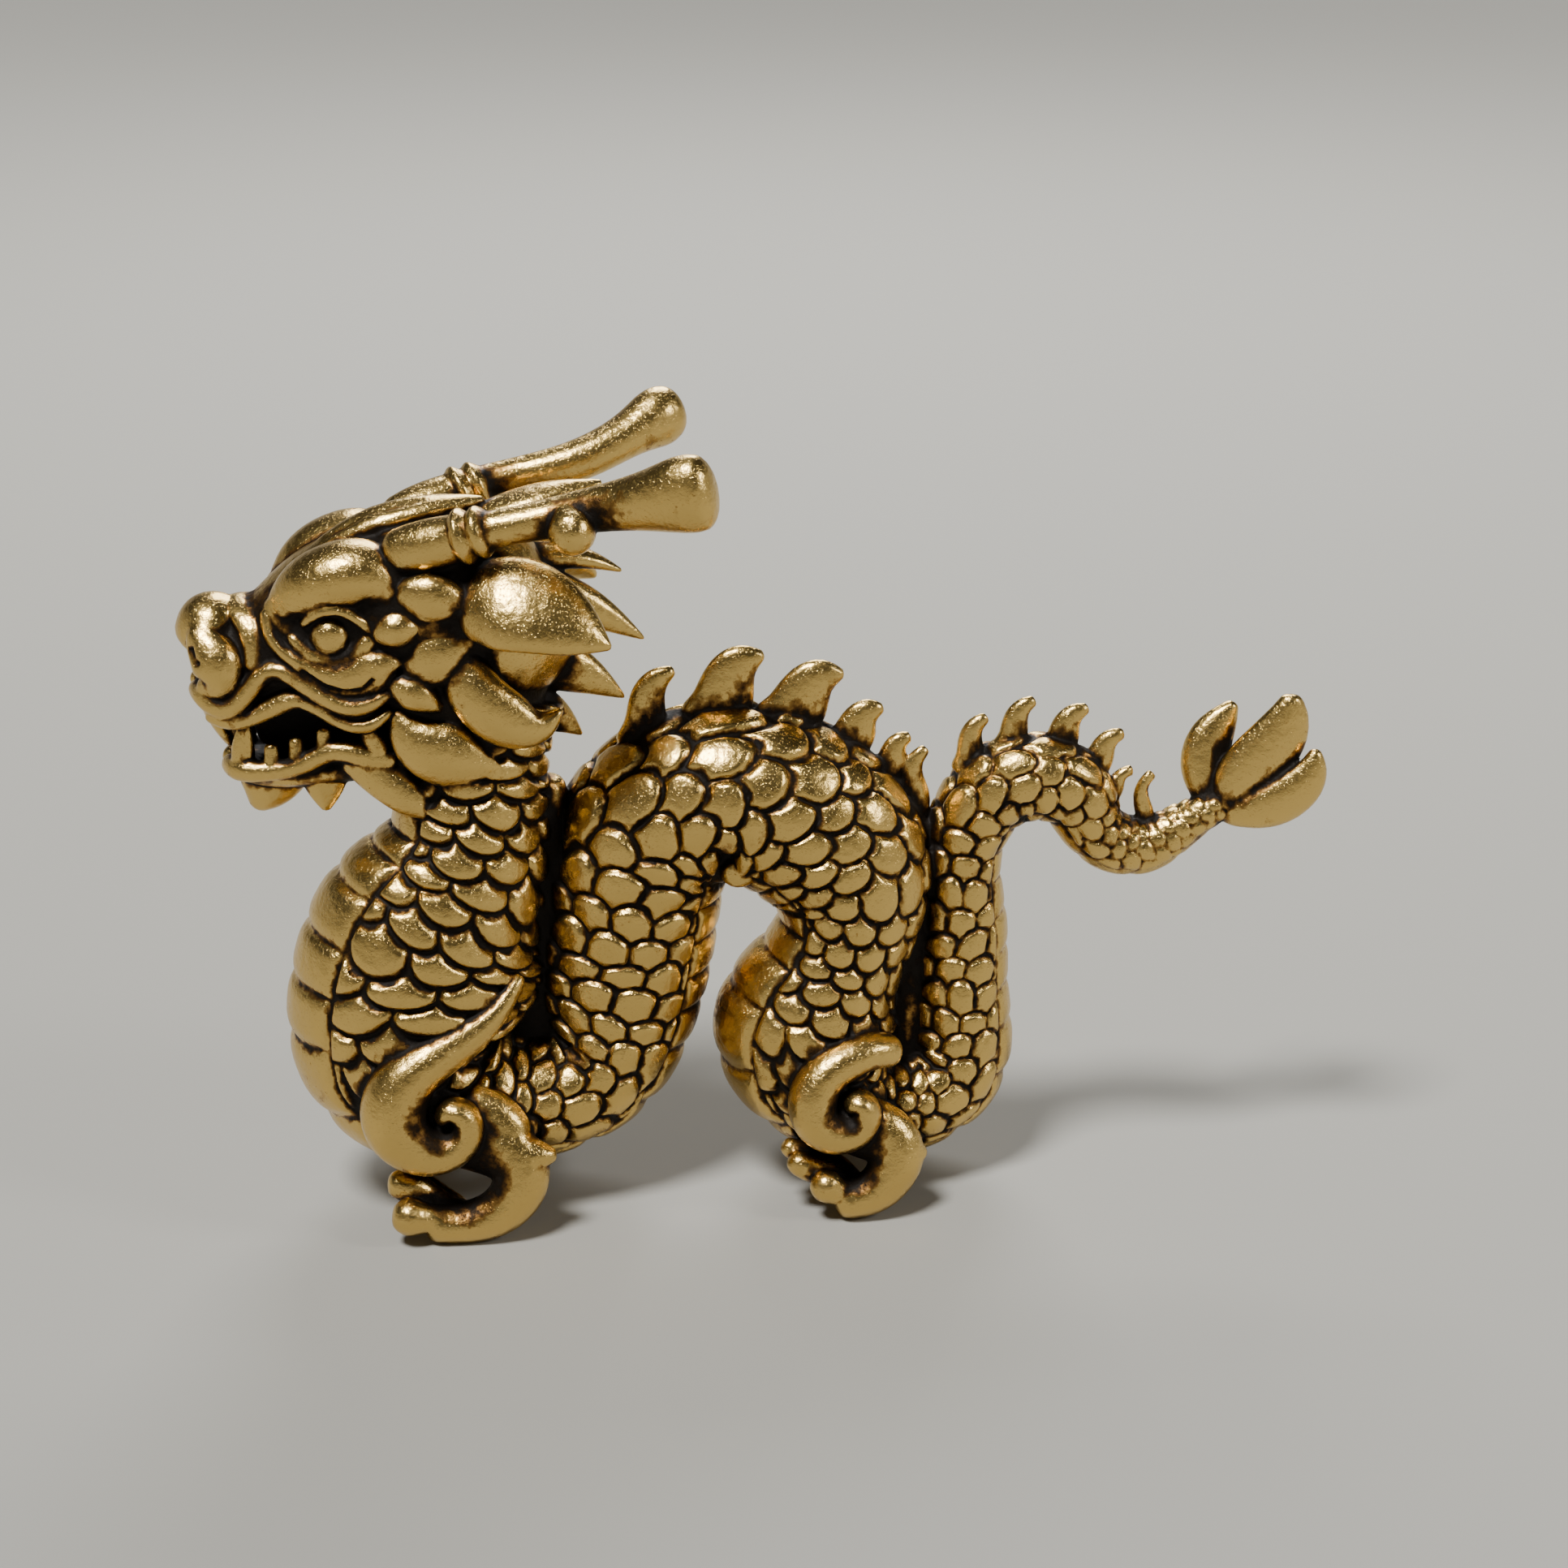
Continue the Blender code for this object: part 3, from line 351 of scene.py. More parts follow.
# the lower lip
both_sides([(-36.9, -0.5, 33.0, 0.7, 0.7), (-36.2, -2.0, 33.0, 0.85, 0.85), (-34.0, -2.8, 33.1, 0.7, 0.75),
            (-31.6, -3.3, 33.8, 0.7, 0.75), (-29.7, -3.7, 34.7, 0.75, 0.8), (-28.0, -4.0, 34.5, 0.9, 0.9),
            (-25.8, -4.1, 34.1, 0.7, 0.8)])
# the corner of the mouth
both_sides([(-27.3, -3.9, 38.0, 0.6, 0.8), (-27.4, -4.1, 36.4, 0.7, 0.8), (-26.6, -4.2, 34.8, 0.8, 0.8)])
# the band under the eye
both_sides([(-33.9, -3.0, 44.4, 0.45, 0.7), (-33.5, -3.6, 42.8, 0.55, 0.8), (-32.2, -4.2, 41.6, 0.6, 0.9),
            (-30.5, -4.6, 40.7, 1.0, 0.9), (-28.9, -4.9, 40.3, 1.35, 1.0), (-27.4, -5.1, 40.6, 1.6, 1.0),
            (-26.2, -5.3, 41.2, 1.2, 0.9), (-25.0, -5.4, 41.4, 0.25, 0.4)])
# the lower lid
both_sides([(-32.2, -3.9, 43.0, 0.5, 0.7), (-31.2, -4.3, 42.0, 0.7, 0.8), (-29.6, -4.6, 41.4, 0.7, 0.8),
            (-28.0, -4.8, 41.9, 0.8, 0.8), (-27.0, -5.0, 43.0, 0.7, 0.8)])
# the brow
both_sides([(-33.0, -2.7, 44.4, 1.1, 1.2), (-31.4, -3.2, 46.0, 1.9, 2.2), (-29.0, -3.6, 47.1, 2.25, 2.7),
            (-26.7, -3.9, 46.9, 2.3, 2.4), (-25.7, -4.3, 45.6, 1.5, 1.6), (-25.7, -4.6, 44.3, 0.6, 0.8)])
# the front wall of the socket
both_sides([(-33.0, -2.6, 45.0, 1.2, 1.3), (-32.5, -3.2, 43.7, 1.3, 1.1), (-31.6, -3.5, 42.4, 0.9, 0.9)])
# the upper lid
both_sides([(-31.4, -4.3, 44.0, 0.3, 0.5), (-30.4, -4.9, 44.9, 0.4, 0.6), (-28.9, -5.2, 45.1, 0.4, 0.6),
            (-27.5, -5.2, 44.2, 0.4, 0.6), (-26.3, -5.0, 42.9, 0.2, 0.4)])
# the eyeball
both_sides([(-29.6, -3.0, 43.2, 1.4, 1.4), (-29.6, -4.5, 43.15, 1.5, 1.5),
            (-29.6, -5.1, 43.15, 1.15, 1.15)], UP)


# The crest
# Two long leaves lie one behind the other along the top of the head, with a fold down their middle.

draw_out([(-31.4, 0, 46.8, 0.6, 0.6), (-28.6, 0, 48.7, 1.5, 0.9), (-24.6, 0, 50.2, 1.9, 1.0),
          (-19.2, 0, 50.9, 0.4, 0.4)], UP)
draw_out([(-19.0, 0, 49.6, 1.6, 1.2), (-16.4, 0, 50.6, 2.0, 1.1), (-13.6, 0, 51.4, 1.2, 0.8),
          (-11.2, 0, 51.9, 0.3, 0.3)], UP)


# Cheek knobs, ears and mane
# Almond-shaped knobs behind the eye, a broad thick ear, two blades of mane and a leaf along the jaw, and
# spikes of mane behind the head. They were pressed on the wax one by one, with dark gaps between them.

# the knobs
for low, mid, high, width in (((-24.8, -5.3, 46.2), (-22.8, -5.7, 45.9), (-20.1, -5.5, 45.3), 1.7),
                              ((-26.4, -5.2, 43.3), (-25.1, -5.5, 43.8), (-23.7, -5.4, 43.9), 1.3),
                              ((-24.6, -5.0, 40.9), (-22.7, -5.4, 41.6), (-20.4, -5.3, 42.8), 2.0),
                              ((-25.6, -5.0, 39.9), (-24.2, -5.3, 39.2), (-22.6, -5.3, 38.1), 1.3)):
    both_sides([(*low, width * 0.6, 0.8), (*mid, width, 1.2), (*high, width * 0.3, 0.6)])
# the ear
EAR_FACING = Vector((0.1, -0.8, 0.6)).normalized()
both_sides([(-20.4, -5.2, 45.2, 2.4, 1.3), (-18.2, -6.2, 45.6, 3.4, 1.6), (-15.4, -7.4, 45.1, 3.1, 1.2),
            (-12.8, -8.1, 43.8, 1.7, 0.8), (-11.2, -8.4, 42.9, 0.25, 0.3)], EAR_FACING)
# the upper blade of mane
both_sides([(-21.2, -4.8, 42.4, 0.4, 0.6), (-20.9, -5.2, 40.8, 1.5, 1.1), (-19.8, -5.7, 38.7, 2.0, 1.4),
            (-17.6, -5.9, 37.0, 1.9, 1.3), (-15.8, -5.9, 36.7, 1.15, 1.0), (-14.4, -5.8, 37.8, 0.2, 0.3)])
# the lower blade of mane
both_sides([(-25.4, -4.4, 37.6, 0.6, 0.8), (-24.6, -4.8, 36.2, 1.6, 1.2), (-23.1, -5.2, 35.0, 2.2, 1.4),
            (-21.3, -5.3, 34.4, 2.1, 1.3), (-19.8, -5.3, 33.9, 1.2, 0.9), (-18.6, -5.2, 33.7, 0.25, 0.3)])
# the leaf under the corner of the jaw
both_sides([(-28.8, -3.5, 34.0, 0.9, 0.8), (-27.4, -3.9, 33.3, 1.35, 0.9), (-25.8, -4.3, 32.1, 1.4, 0.9),
            (-24.4, -4.6, 31.0, 1.1, 0.8), (-23.6, -4.7, 30.1, 0.4, 0.4)])
# the spikes of mane
for root, tip, width in (((-17.0, 0, 45.0), (-8.4, 0, 40.8), 1.9), ((-17.0, 0, 40.0), (-9.8, 0, 36.6), 2.2),
                         ((-17.6, 0, 36.6), (-12.8, 0, 34.0), 1.9),
                         ((-16.0, 1.0, 46.6), (-9.8, 1.0, 45.4), 1.0)):
    root, tip = Vector(root), Vector(tip)
    middle = root.lerp(tip, 0.55) + UP * 0.5
    draw_out([(*root, width, 1.6), (*middle, width * 0.75, 1.1), (*tip, 0.15, 0.2)])


# Teeth, tusks and beard
# Small square teeth and a tusk stand on each side of the lower jaw, and under it hang a pointed tuft at the
# chin and a fin on each side.

TOOTH_HEIGHT = 1.1
# the teeth
for x, y, z in ((-34.0, -2.8, 33.8), (-32.3, -3.1, 34.3), (-30.4, -3.5, 35.1)):
    both_sides([(x, y, z - 0.4, 0.58, 0.5), (x, y, z + TOOTH_HEIGHT * 0.7, 0.52, 0.45),
                (x, y, z + TOOTH_HEIGHT, 0.48, 0.4)], spans=2)
# the tusks
both_sides([(-36.0, -1.9, 33.2, 0.8, 0.6), (-35.9, -2.2, 34.8, 0.78, 0.55), (-35.7, -2.3, 36.4, 0.4, 0.35)])
# the fins under the jaw
both_sides([(-30.5, -2.4, 33.0, 1.7, 0.8), (-30.5, -2.4, 31.7, 1.4, 0.7), (-30.5, -2.3, 30.6, 0.8, 0.5),
            (-30.5, -2.3, 30.0, 0.35, 0.3)])
# the tuft at the chin
draw_out([(-33.9, 0, 32.4, 2.5, 1.7), (-34.4, 0, 31.3, 2.2, 1.5), (-34.8, 0, 30.4, 1.6, 1.2),
          (-35.2, 0, 29.7, 0.8, 0.8)])


# The horns
# A pair of round horns that lie back from the brows, each with a smooth butt, a double band, a shaft with a
# ball-ended tine under it, and a blunt end like a club.

horn_root = [(-25.2, 4.0, 48.6, 1.5, 1.5), (-23.6, 4.5, 49.1, 1.7, 1.7), (-21.6, 5.1, 49.7, 1.65, 1.65),
             (-18.8, 5.9, 50.5, 1.3, 1.3), (-15.8, 6.1, 51.1, 1.3, 1.3), (-12.8, 6.3, 51.7, 1.45, 1.45)]
draw_out([(row[0], -row[1], *row[2:]) for row in horn_root]
         + [(-9.2, -7.6, 52.6, 1.9, 1.8), (-7.2, -8.7, 53.2, 2.4, 2.0), (-5.8, -9.4, 53.6, 2.65, 1.9),
            (-4.9, -9.8, 53.8, 2.5, 1.7)])
draw_out(horn_root + [(-10.0, 7.1, 52.7, 1.5, 1.5), (-7.9, 8.2, 53.6, 1.8, 1.7), (-6.4, 9.0, 54.2, 2.1, 1.8),
                      (-5.5, 9.4, 54.5, 1.8, 1.5)], -NEAR)
# the bands
for x, y, z, radius in ((-20.6, -5.4, 50.0, 2.0), (-19.5, -5.7, 50.35, 1.85)):
    both_sides([(x - 0.45, y + 0.12, z - 0.15, radius * 0.8, radius * 0.8), (x, y, z, radius, radius),
                (x + 0.45, y - 0.12, z + 0.15, radius * 0.8, radius * 0.8)], spans=2)
# the tines
both_sides([(-13.7, -6.2, 51.5, 1.3, 1.3), (-13.6, -7.1, 51.0, 1.5, 1.5), (-13.5, -7.8, 50.6, 1.6, 1.6),
            (-13.5, -8.5, 50.3, 1.2, 1.2)], UP)


# The front legs
# A flame rises along the shoulder and curls under itself in a scroll. Below it an arm runs back to a pointed
# heel, and the foot comes forward again to three round toes. The far leg stands a little further back.

FAR_FRONT_STEP = 1.5
# the flame and its scroll
both_sides([(-17.7, -5.9, 18.4, 0.5, 0.6), (-19.6, -6.7, 16.2, 1.1, 1.4), (-21.9, -7.2, 14.6, 1.55, 1.8),
            (-24.1, -7.7, 13.3, 1.8, 2.0), (-26.0, -8.1, 11.7, 2.15, 2.2), (-26.7, -8.5, 9.6, 2.35, 2.2),
            (-26.0, -8.8, 7.9, 2.15, 2.0), (-24.5, -8.9, 6.9, 1.75, 1.8), (-22.8, -8.9, 7.0, 1.45, 1.6),
            (-21.7, -8.9, 8.1, 1.2, 1.5), (-21.8, -8.9, 9.5, 1.05, 1.4), (-22.8, -8.9, 10.0, 0.85, 1.2),
            (-23.5, -8.8, 9.3, 0.5, 0.9)], far_step=FAR_FRONT_STEP)
# the web between scroll and arm
both_sides([(-21.8, -6.9, 9.2, 2.1, 1.6), (-20.0, -7.3, 8.0, 2.4, 1.7), (-18.4, -7.8, 6.8, 1.9, 1.5)],
           far_step=FAR_FRONT_STEP)
# the arm and the foot
both_sides([(-23.6, -7.0, 7.6, 2.2, 1.8), (-20.8, -7.5, 6.9, 2.3, 1.8), (-18.3, -8.2, 5.6, 2.2, 1.7),
            (-18.1, -8.6, 3.9, 2.0, 1.7), (-19.7, -8.7, 1.9, 1.7, 1.7), (-21.8, -8.7, 1.25, 1.45, 1.65),
            (-24.2, -8.7, 1.3, 1.35, 1.6)], far_step=FAR_FRONT_STEP)
# the heel
both_sides([(-18.6, -8.0, 6.2, 1.3, 1.3), (-17.0, -8.5, 6.1, 1.15, 1.2), (-15.7, -8.7, 6.1, 0.5, 0.6)],
           far_step=FAR_FRONT_STEP)
# the toes
for y, reach, lift, ball in ((-9.2, 0.0, 0.0, 1.35), (-7.4, 0.3, 1.6, 1.15), (-6.1, -0.2, 1.3, 1.0)):
    both_sides([(-22.6, (y - 8.7) / 2, 1.4, 1.3, 1.2), (-24.6, y, 1.9 + lift * 0.6, 1.0, 1.0),
                (-25.9 - reach, y, 2.1 + lift, ball, ball),
                (-26.6 - reach, y, 2.2 + lift, ball * 0.8, ball * 0.8)], UP, far_step=FAR_FRONT_STEP)


# The hind legs
# The same as in front, smaller, with the flame cut short over the haunch.

FAR_HIND_STEP = 1.0
# the flame and its scroll
both_sides([(8.4, -6.0, 11.7, 1.1, 1.2), (6.8, -6.5, 12.0, 1.35, 1.5), (4.9, -7.0, 11.6, 1.5, 1.7),
            (3.2, -7.4, 10.5, 1.65, 1.8), (2.5, -7.7, 8.9, 1.75, 1.9), (2.8, -7.9, 7.4, 1.7, 1.9),
            (4.1, -8.0, 6.5, 1.55, 1.8), (5.5, -8.0, 6.7, 1.35, 1.6), (6.2, -8.0, 7.8, 1.2, 1.5),
            (5.7, -8.0, 8.8, 1.0, 1.4), (4.9, -8.0, 8.6, 0.6, 1.0)], far_step=FAR_HIND_STEP)
# the arm and the foot
both_sides([(3.8, -6.6, 7.2, 2.0, 1.8), (6.4, -6.9, 6.3, 2.3, 1.8), (8.4, -7.5, 5.0, 2.1, 1.7),
            (8.3, -7.8, 3.6, 1.9, 1.7), (6.8, -8.0, 1.8, 1.6, 1.65), (4.6, -8.0, 1.3, 1.4, 1.6)],
           far_step=FAR_HIND_STEP)
# the heel
both_sides([(8.0, -7.3, 5.2, 1.3, 1.3), (9.4, -7.6, 4.8, 1.15, 1.1), (10.4, -7.8, 4.4, 0.5, 0.6)],
           far_step=FAR_HIND_STEP)
# the toes
for y, reach, lift, ball in ((-8.4, 0.0, 0.0, 1.2), (-6.8, 1.6, 1.0, 0.95), (-5.6, 2.0, 1.6, 0.8)):
    both_sides([(5.6, (y - 8.0) / 2, 1.4, 1.2, 1.1), (4.2, y, 2.1 + lift * 0.5, 0.95, 0.95),
                (3.4 - reach, y, 2.6 + lift, ball, ball),
                (2.9 - reach, y, 3.0 + lift, ball * 0.8, ball * 0.8)], UP, far_step=FAR_HIND_STEP)


# The tail fin
# Three lobes spread like petals from the end of the tail, the middle one the longest.

draw_out([(31.9, 0.4, 27.0, 0.9, 0.9), (31.5, 1.1, 29.2, 1.7, 1.1), (31.9, 1.5, 31.4, 1.7, 1.0),
          (32.9, 1.7, 33.0, 1.1, 0.7), (33.5, 1.8, 33.9, 0.5, 0.5)])
draw_out([(32.6, 0.0, 27.2, 1.1, 1.0), (34.1, -0.1, 29.2, 2.1, 1.2), (36.0, -0.3, 31.4, 2.2, 1.1),
          (37.0, -0.4, 33.6, 1.6, 0.8), (37.2, -0.4, 35.0, 0.8, 0.6)])
draw_out([(32.9, -0.2, 26.7, 1.1, 1.0), (35.5, -0.8, 27.1, 1.7, 1.1), (37.7, -1.2, 28.4, 1.7, 1.0),
          (38.7, -1.3, 30.0, 1.15, 0.7), (38.9, -1.2, 31.2, 0.45, 0.45)])


# The casting
# All of the wax becomes one piece of brass, cast solid, so creases and roots run into each other softly.
# The soles are ground flat on a plate until the figure stands.

CAST_SOFTNESS = 0.12  # the finest detail that the mould holds
FACE_LIMIT = 195000


def finish_modifier(piece, kind, **settings):
    modifier = piece.modifiers.new(kind.lower(), kind)
    for key, value in settings.items():
        setattr(modifier, key, value)
    bpy.ops.object.modifier_apply(modifier=modifier.name)


bpy.ops.object.select_all(action="DESELECT")
for form in forms:
    form.select_set(True)
bpy.context.view_layer.objects.active = forms[0]
bpy.ops.object.join()
casting = bpy.context.object
casting.name = casting.data.name = "dragon_casting"
finish_modifier(casting, "REMESH", mode="VOXEL", voxel_size=CAST_SOFTNESS * MM, adaptivity=0.0)
finish_modifier(casting, "SMOOTH", factor=0.5, iterations=2)


CHASED_REACH = 0.4  # the share at which a distance from side to side counts, so a line reaches the surface


def chase(piece, cuts):
    """Cuts fine lines into both sides of a piece, each given by its points, half width and depth."""
    count = len(piece.data.vertices)
    place, normal = np.zeros(count * 3), np.zeros(count * 3)
    piece.data.vertices.foreach_get("co", place)
    piece.data.vertices.foreach_get("normal", normal)
    place, normal = place.reshape(-1, 3) / MM, normal.reshape(-1, 3)
    for line, half_width, depth in cuts:
        for side in (1, -1):
            points = np.array(line) * (1, side, 1)
            nearest = np.full(count, np.inf)
            for start, end in zip(points[:-1], points[1:]):
                along = end - start
                share = np.clip((place - start) @ along / (along @ along), 0, 1)
                offset = (place - start - share[:, None] * along) * (1, CHASED_REACH, 1)
                nearest = np.minimum(nearest, np.linalg.norm(offset, axis=1))
            share = np.clip(1 - nearest / half_width, 0, 1)
            place -= normal * (depth * share * share * (3 - 2 * share))[:, None]
    piece.data.vertices.foreach_set("co", (place * MM).ravel())
    piece.data.update()


nostril = [(-38.9, -2.7, 41.9), (-38.6, -3.1, 41.2)]
under_eye = [(-31.6, -5.2, 40.9), (-30.2, -5.5, 39.9), (-28.8, -5.9, 39.5), (-27.6, -6.1, 39.7),
             (-27.0, -6.1, 40.4)]
crest_fold = [(-30.8, -0.9, 48.4), (-27.0, -1.0, 50.6), (-22.0, -0.8, 51.7)]
chase(casting, [(nostril, 0.45, 0.9), (under_eye, 0.24, 0.26), (crest_fold, 0.30, 0.28)])
bpy.ops.object.mode_set(mode="EDIT")
bpy.ops.mesh.select_all(action="SELECT")
bpy.ops.mesh.bisect(plane_co=(0, 0, 0), plane_no=(0, 0, 1), use_fill=True, clear_inner=True)
bpy.ops.mesh.select_all(action="SELECT")
bpy.ops.mesh.quads_convert_to_tris()
bpy.ops.mesh.delete_loose()
bpy.ops.object.mode_set(mode="OBJECT")
finish_modifier(casting, "DECIMATE", ratio=min(1.0, FACE_LIMIT / len(casting.data.polygons)))
heights = np.zeros(len(casting.data.vertices) * 3)
casting.data.vertices.foreach_get("co", heights)
heights[2::3] = np.maximum(heights[2::3], 0)
casting.data.vertices.foreach_set("co", heights)
casting.data.update()
casting.data.shade_smooth()
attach(casting, "root")
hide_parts("dragon")


# The patina and the painted shade
# The brass was dipped to turn it dark brown and then rubbed back, so the tops are bright and the hollows
# nearly black. Shade is painted over it: darker where the surface is sheltered, darkest inside the mouth,
# and darker the more it faces down. Each point's share of both is worked out from the shape: how hollow
# it is, how sheltered, and how far it faces down.

# How often the surface is smoothed to find a hollow of each size, and the depth that counts as a full one.
FINE_HOLLOW, MIDDLE_HOLLOW, BROAD_HOLLOW = (3, 0.035), (10, 0.10), (24, 0.22)
# How far the rays look for cover: cover within this reach darkens a point, as painted shade along with the
# unrubbed patina.
OCCLUSION_REACH = 4.5
LIFT = 0.06  # of the rays' start over the surface
SCALE_SKIN = 0.3  # how near the carved body a point counts as part of it
SCALE_FACING = 0.3  # and how far it has to face the same way
# The mouth, whose inside is painted dark as shade: its middle, its reach each way, where that shade starts,
# how fast it deepens and how dark it gets.
MOUTH = (-31.0, 0.0, 35.8)
MOUTH_REACH = (6.0, 2.6, 2.4)
MOUTH_EDGE, MOUTH_PAINTED_SHADE, MOUTH_PAINTED_SHADE_LIMIT = 1.15, 2.2, 0.9
RAYS = 20


def neighbour_mean(values, edges, weight):
    total = np.zeros_like(values)
    for side, other in ((0, 1), (1, 0)):
        for axis in range(values.shape[1]):
            total[:, axis] += np.bincount(edges[:, side], values[edges[:, other], axis], len(values))
    return total / weight


def patina_and_painted_shade(piece):
    data = piece.data
    count = len(data.vertices)
    place, normal = np.zeros(count * 3), np.zeros(count * 3)
    data.vertices.foreach_get("co", place)
    data.vertices.foreach_get("normal", normal)
    place, normal = place.reshape(-1, 3) / MM, normal.reshape(-1, 3)
    edges = np.zeros(len(data.edges) * 2, np.int64)
    data.edges.foreach_get("vertices", edges)
    edges = edges.reshape(-1, 2)
    weight = np.bincount(edges.ravel(), minlength=count)[:, None].astype(float)
    soft, hollow = place, {}
    depths = dict((FINE_HOLLOW, MIDDLE_HOLLOW, BROAD_HOLLOW))
    for turn in range(1, max(depths) + 1):
        soft = neighbour_mean(soft, edges, weight)
        if turn in depths:
            hollow[turn] = np.clip(np.sum((soft - place) * normal, axis=1) / depths[turn], -1, 1)
    groove = hollow[FINE_HOLLOW[0]] * 0.5 + hollow[MIDDLE_HOLLOW[0]] * 0.5
    groove = neighbour_mean(groove[:, None], edges, weight)[:, 0] * 0.5 + groove * 0.5
    broad = hollow[BROAD_HOLLOW[0]]
    tree = BVHTree.FromObject(piece, bpy.context.evaluated_depsgraph_get())
    golden = math.pi * (3 - math.sqrt(5))
    rays = []
    for k in range(RAYS):
        height = math.sqrt((k + 0.5) / RAYS)
        spread = math.sqrt(1 - height**2)
        rays.append((spread * math.cos(golden * k), spread * math.sin(golden * k), height))
    helper = np.where(np.abs(normal[:, :1]) < 0.8, [[1.0, 0.0, 0.0]], [[0.0, 1.0, 0.0]])
    first = np.cross(normal, helper)
    first /= np.linalg.norm(first, axis=1, keepdims=True)
    second = np.cross(normal, first)
    start = (place + normal * LIFT) * MM
    # Painted shade: the more rays meet the figure nearby, the darker the point. This stands for shade as well
    # as for patina left unrubbed in sheltered places.
    occlusion_patina_and_shade = np.zeros(count)
    for along, aside, height in rays:
        ways = first * along + second * aside + normal * height
        for n in range(count):
            hit = tree.ray_cast(Vector(start[n]), Vector(ways[n]), OCCLUSION_REACH * MM)
            if hit[0] is not None:
                occlusion_patina_and_shade[n] += 1 - hit[3] / (OCCLUSION_REACH * MM)
    occlusion_patina_and_shade /= RAYS
    occlusion_patina_and_shade = neighbour_mean(occlusion_patina_and_shade[:, None], edges, weight)[:, 0]
    # Painted shade inside the open mouth, on top of the sheltered share.
    mouth = np.linalg.norm((place - MOUTH) / MOUTH_REACH, axis=1)
    occlusion_patina_and_shade = np.maximum(occlusion_patina_and_shade, np.clip(MOUTH_PAINTED_SHADE * (MOUTH_EDGE - mouth), 0, MOUTH_PAINTED_SHADE_LIMIT))
    gap, tone, scaly = np.ones(count), np.full(count, 0.5), np.zeros(count)
    for n in range(count):
        _, facing, face, distance = scale_tree.find_nearest(Vector(place[n]) * MM)
        if distance < SCALE_SKIN * MM and facing.dot(Vector(normal[n])) > SCALE_FACING:
            gap[n], tone[n], scaly[n] = min(scale_gap[face], 1.0), scale_tone[face], 1.0
    # Painted shade: faces turned down are darker, as if the light came only from above.
    under = 0.5 - 0.5 * normal[:, 2]
    for name, values in (("groove", groove), ("broad", broad), ("occlusion_patina_and_shade", occlusion_patina_and_shade), ("under", under),
                         ("scale_gap", gap), ("scale_tone", tone), ("scaly", scaly)):
        layer = data.attributes.new(name, "FLOAT", "POINT")
        layer.data.foreach_set("value", values.astype(np.float32))


patina_and_painted_shade(casting)


def linear(colour):
    """A hex colour as the eye reads it, turned to the linear values that a shader takes."""
    parts = [int(colour[k:k + 2], 16) / 255 for k in (1, 3, 5)]
    return tuple(c / 12.92 if c <= 0.04045 else ((c + 0.055) / 1.055)**2.4 for c in parts) + (1.0,)


def add(tree, kind, settings=(), links=()):
    """Adds a node with its settings and its links, given by input: (input, (node, output)) or a value."""
    node = tree.nodes.new(kind)
    for key, value in dict(settings).items():
        setattr(node, key, value)
    for slot, source in dict(links).items():
        if isinstance(source, tuple) and isinstance(source[0], bpy.types.Node):
            tree.links.new(source[0].outputs[source[1]], node.inputs[slot])
        else:
            node.inputs[slot].default_value = source
    return node


GRAINS = (("patch", 2.6, 4.0), ("mottle", 0.7, 5.0), ("grit", 0.17, 2.0))  # the size and the detail of each
BRASS = ((0.26, "#D6B468"), (0.43, "#9C763C"), (0.61, "#624524"), (0.79, "#2C1F11"), (0.97, "#140E08"))
REDDISH_FILM = "#C8935A"


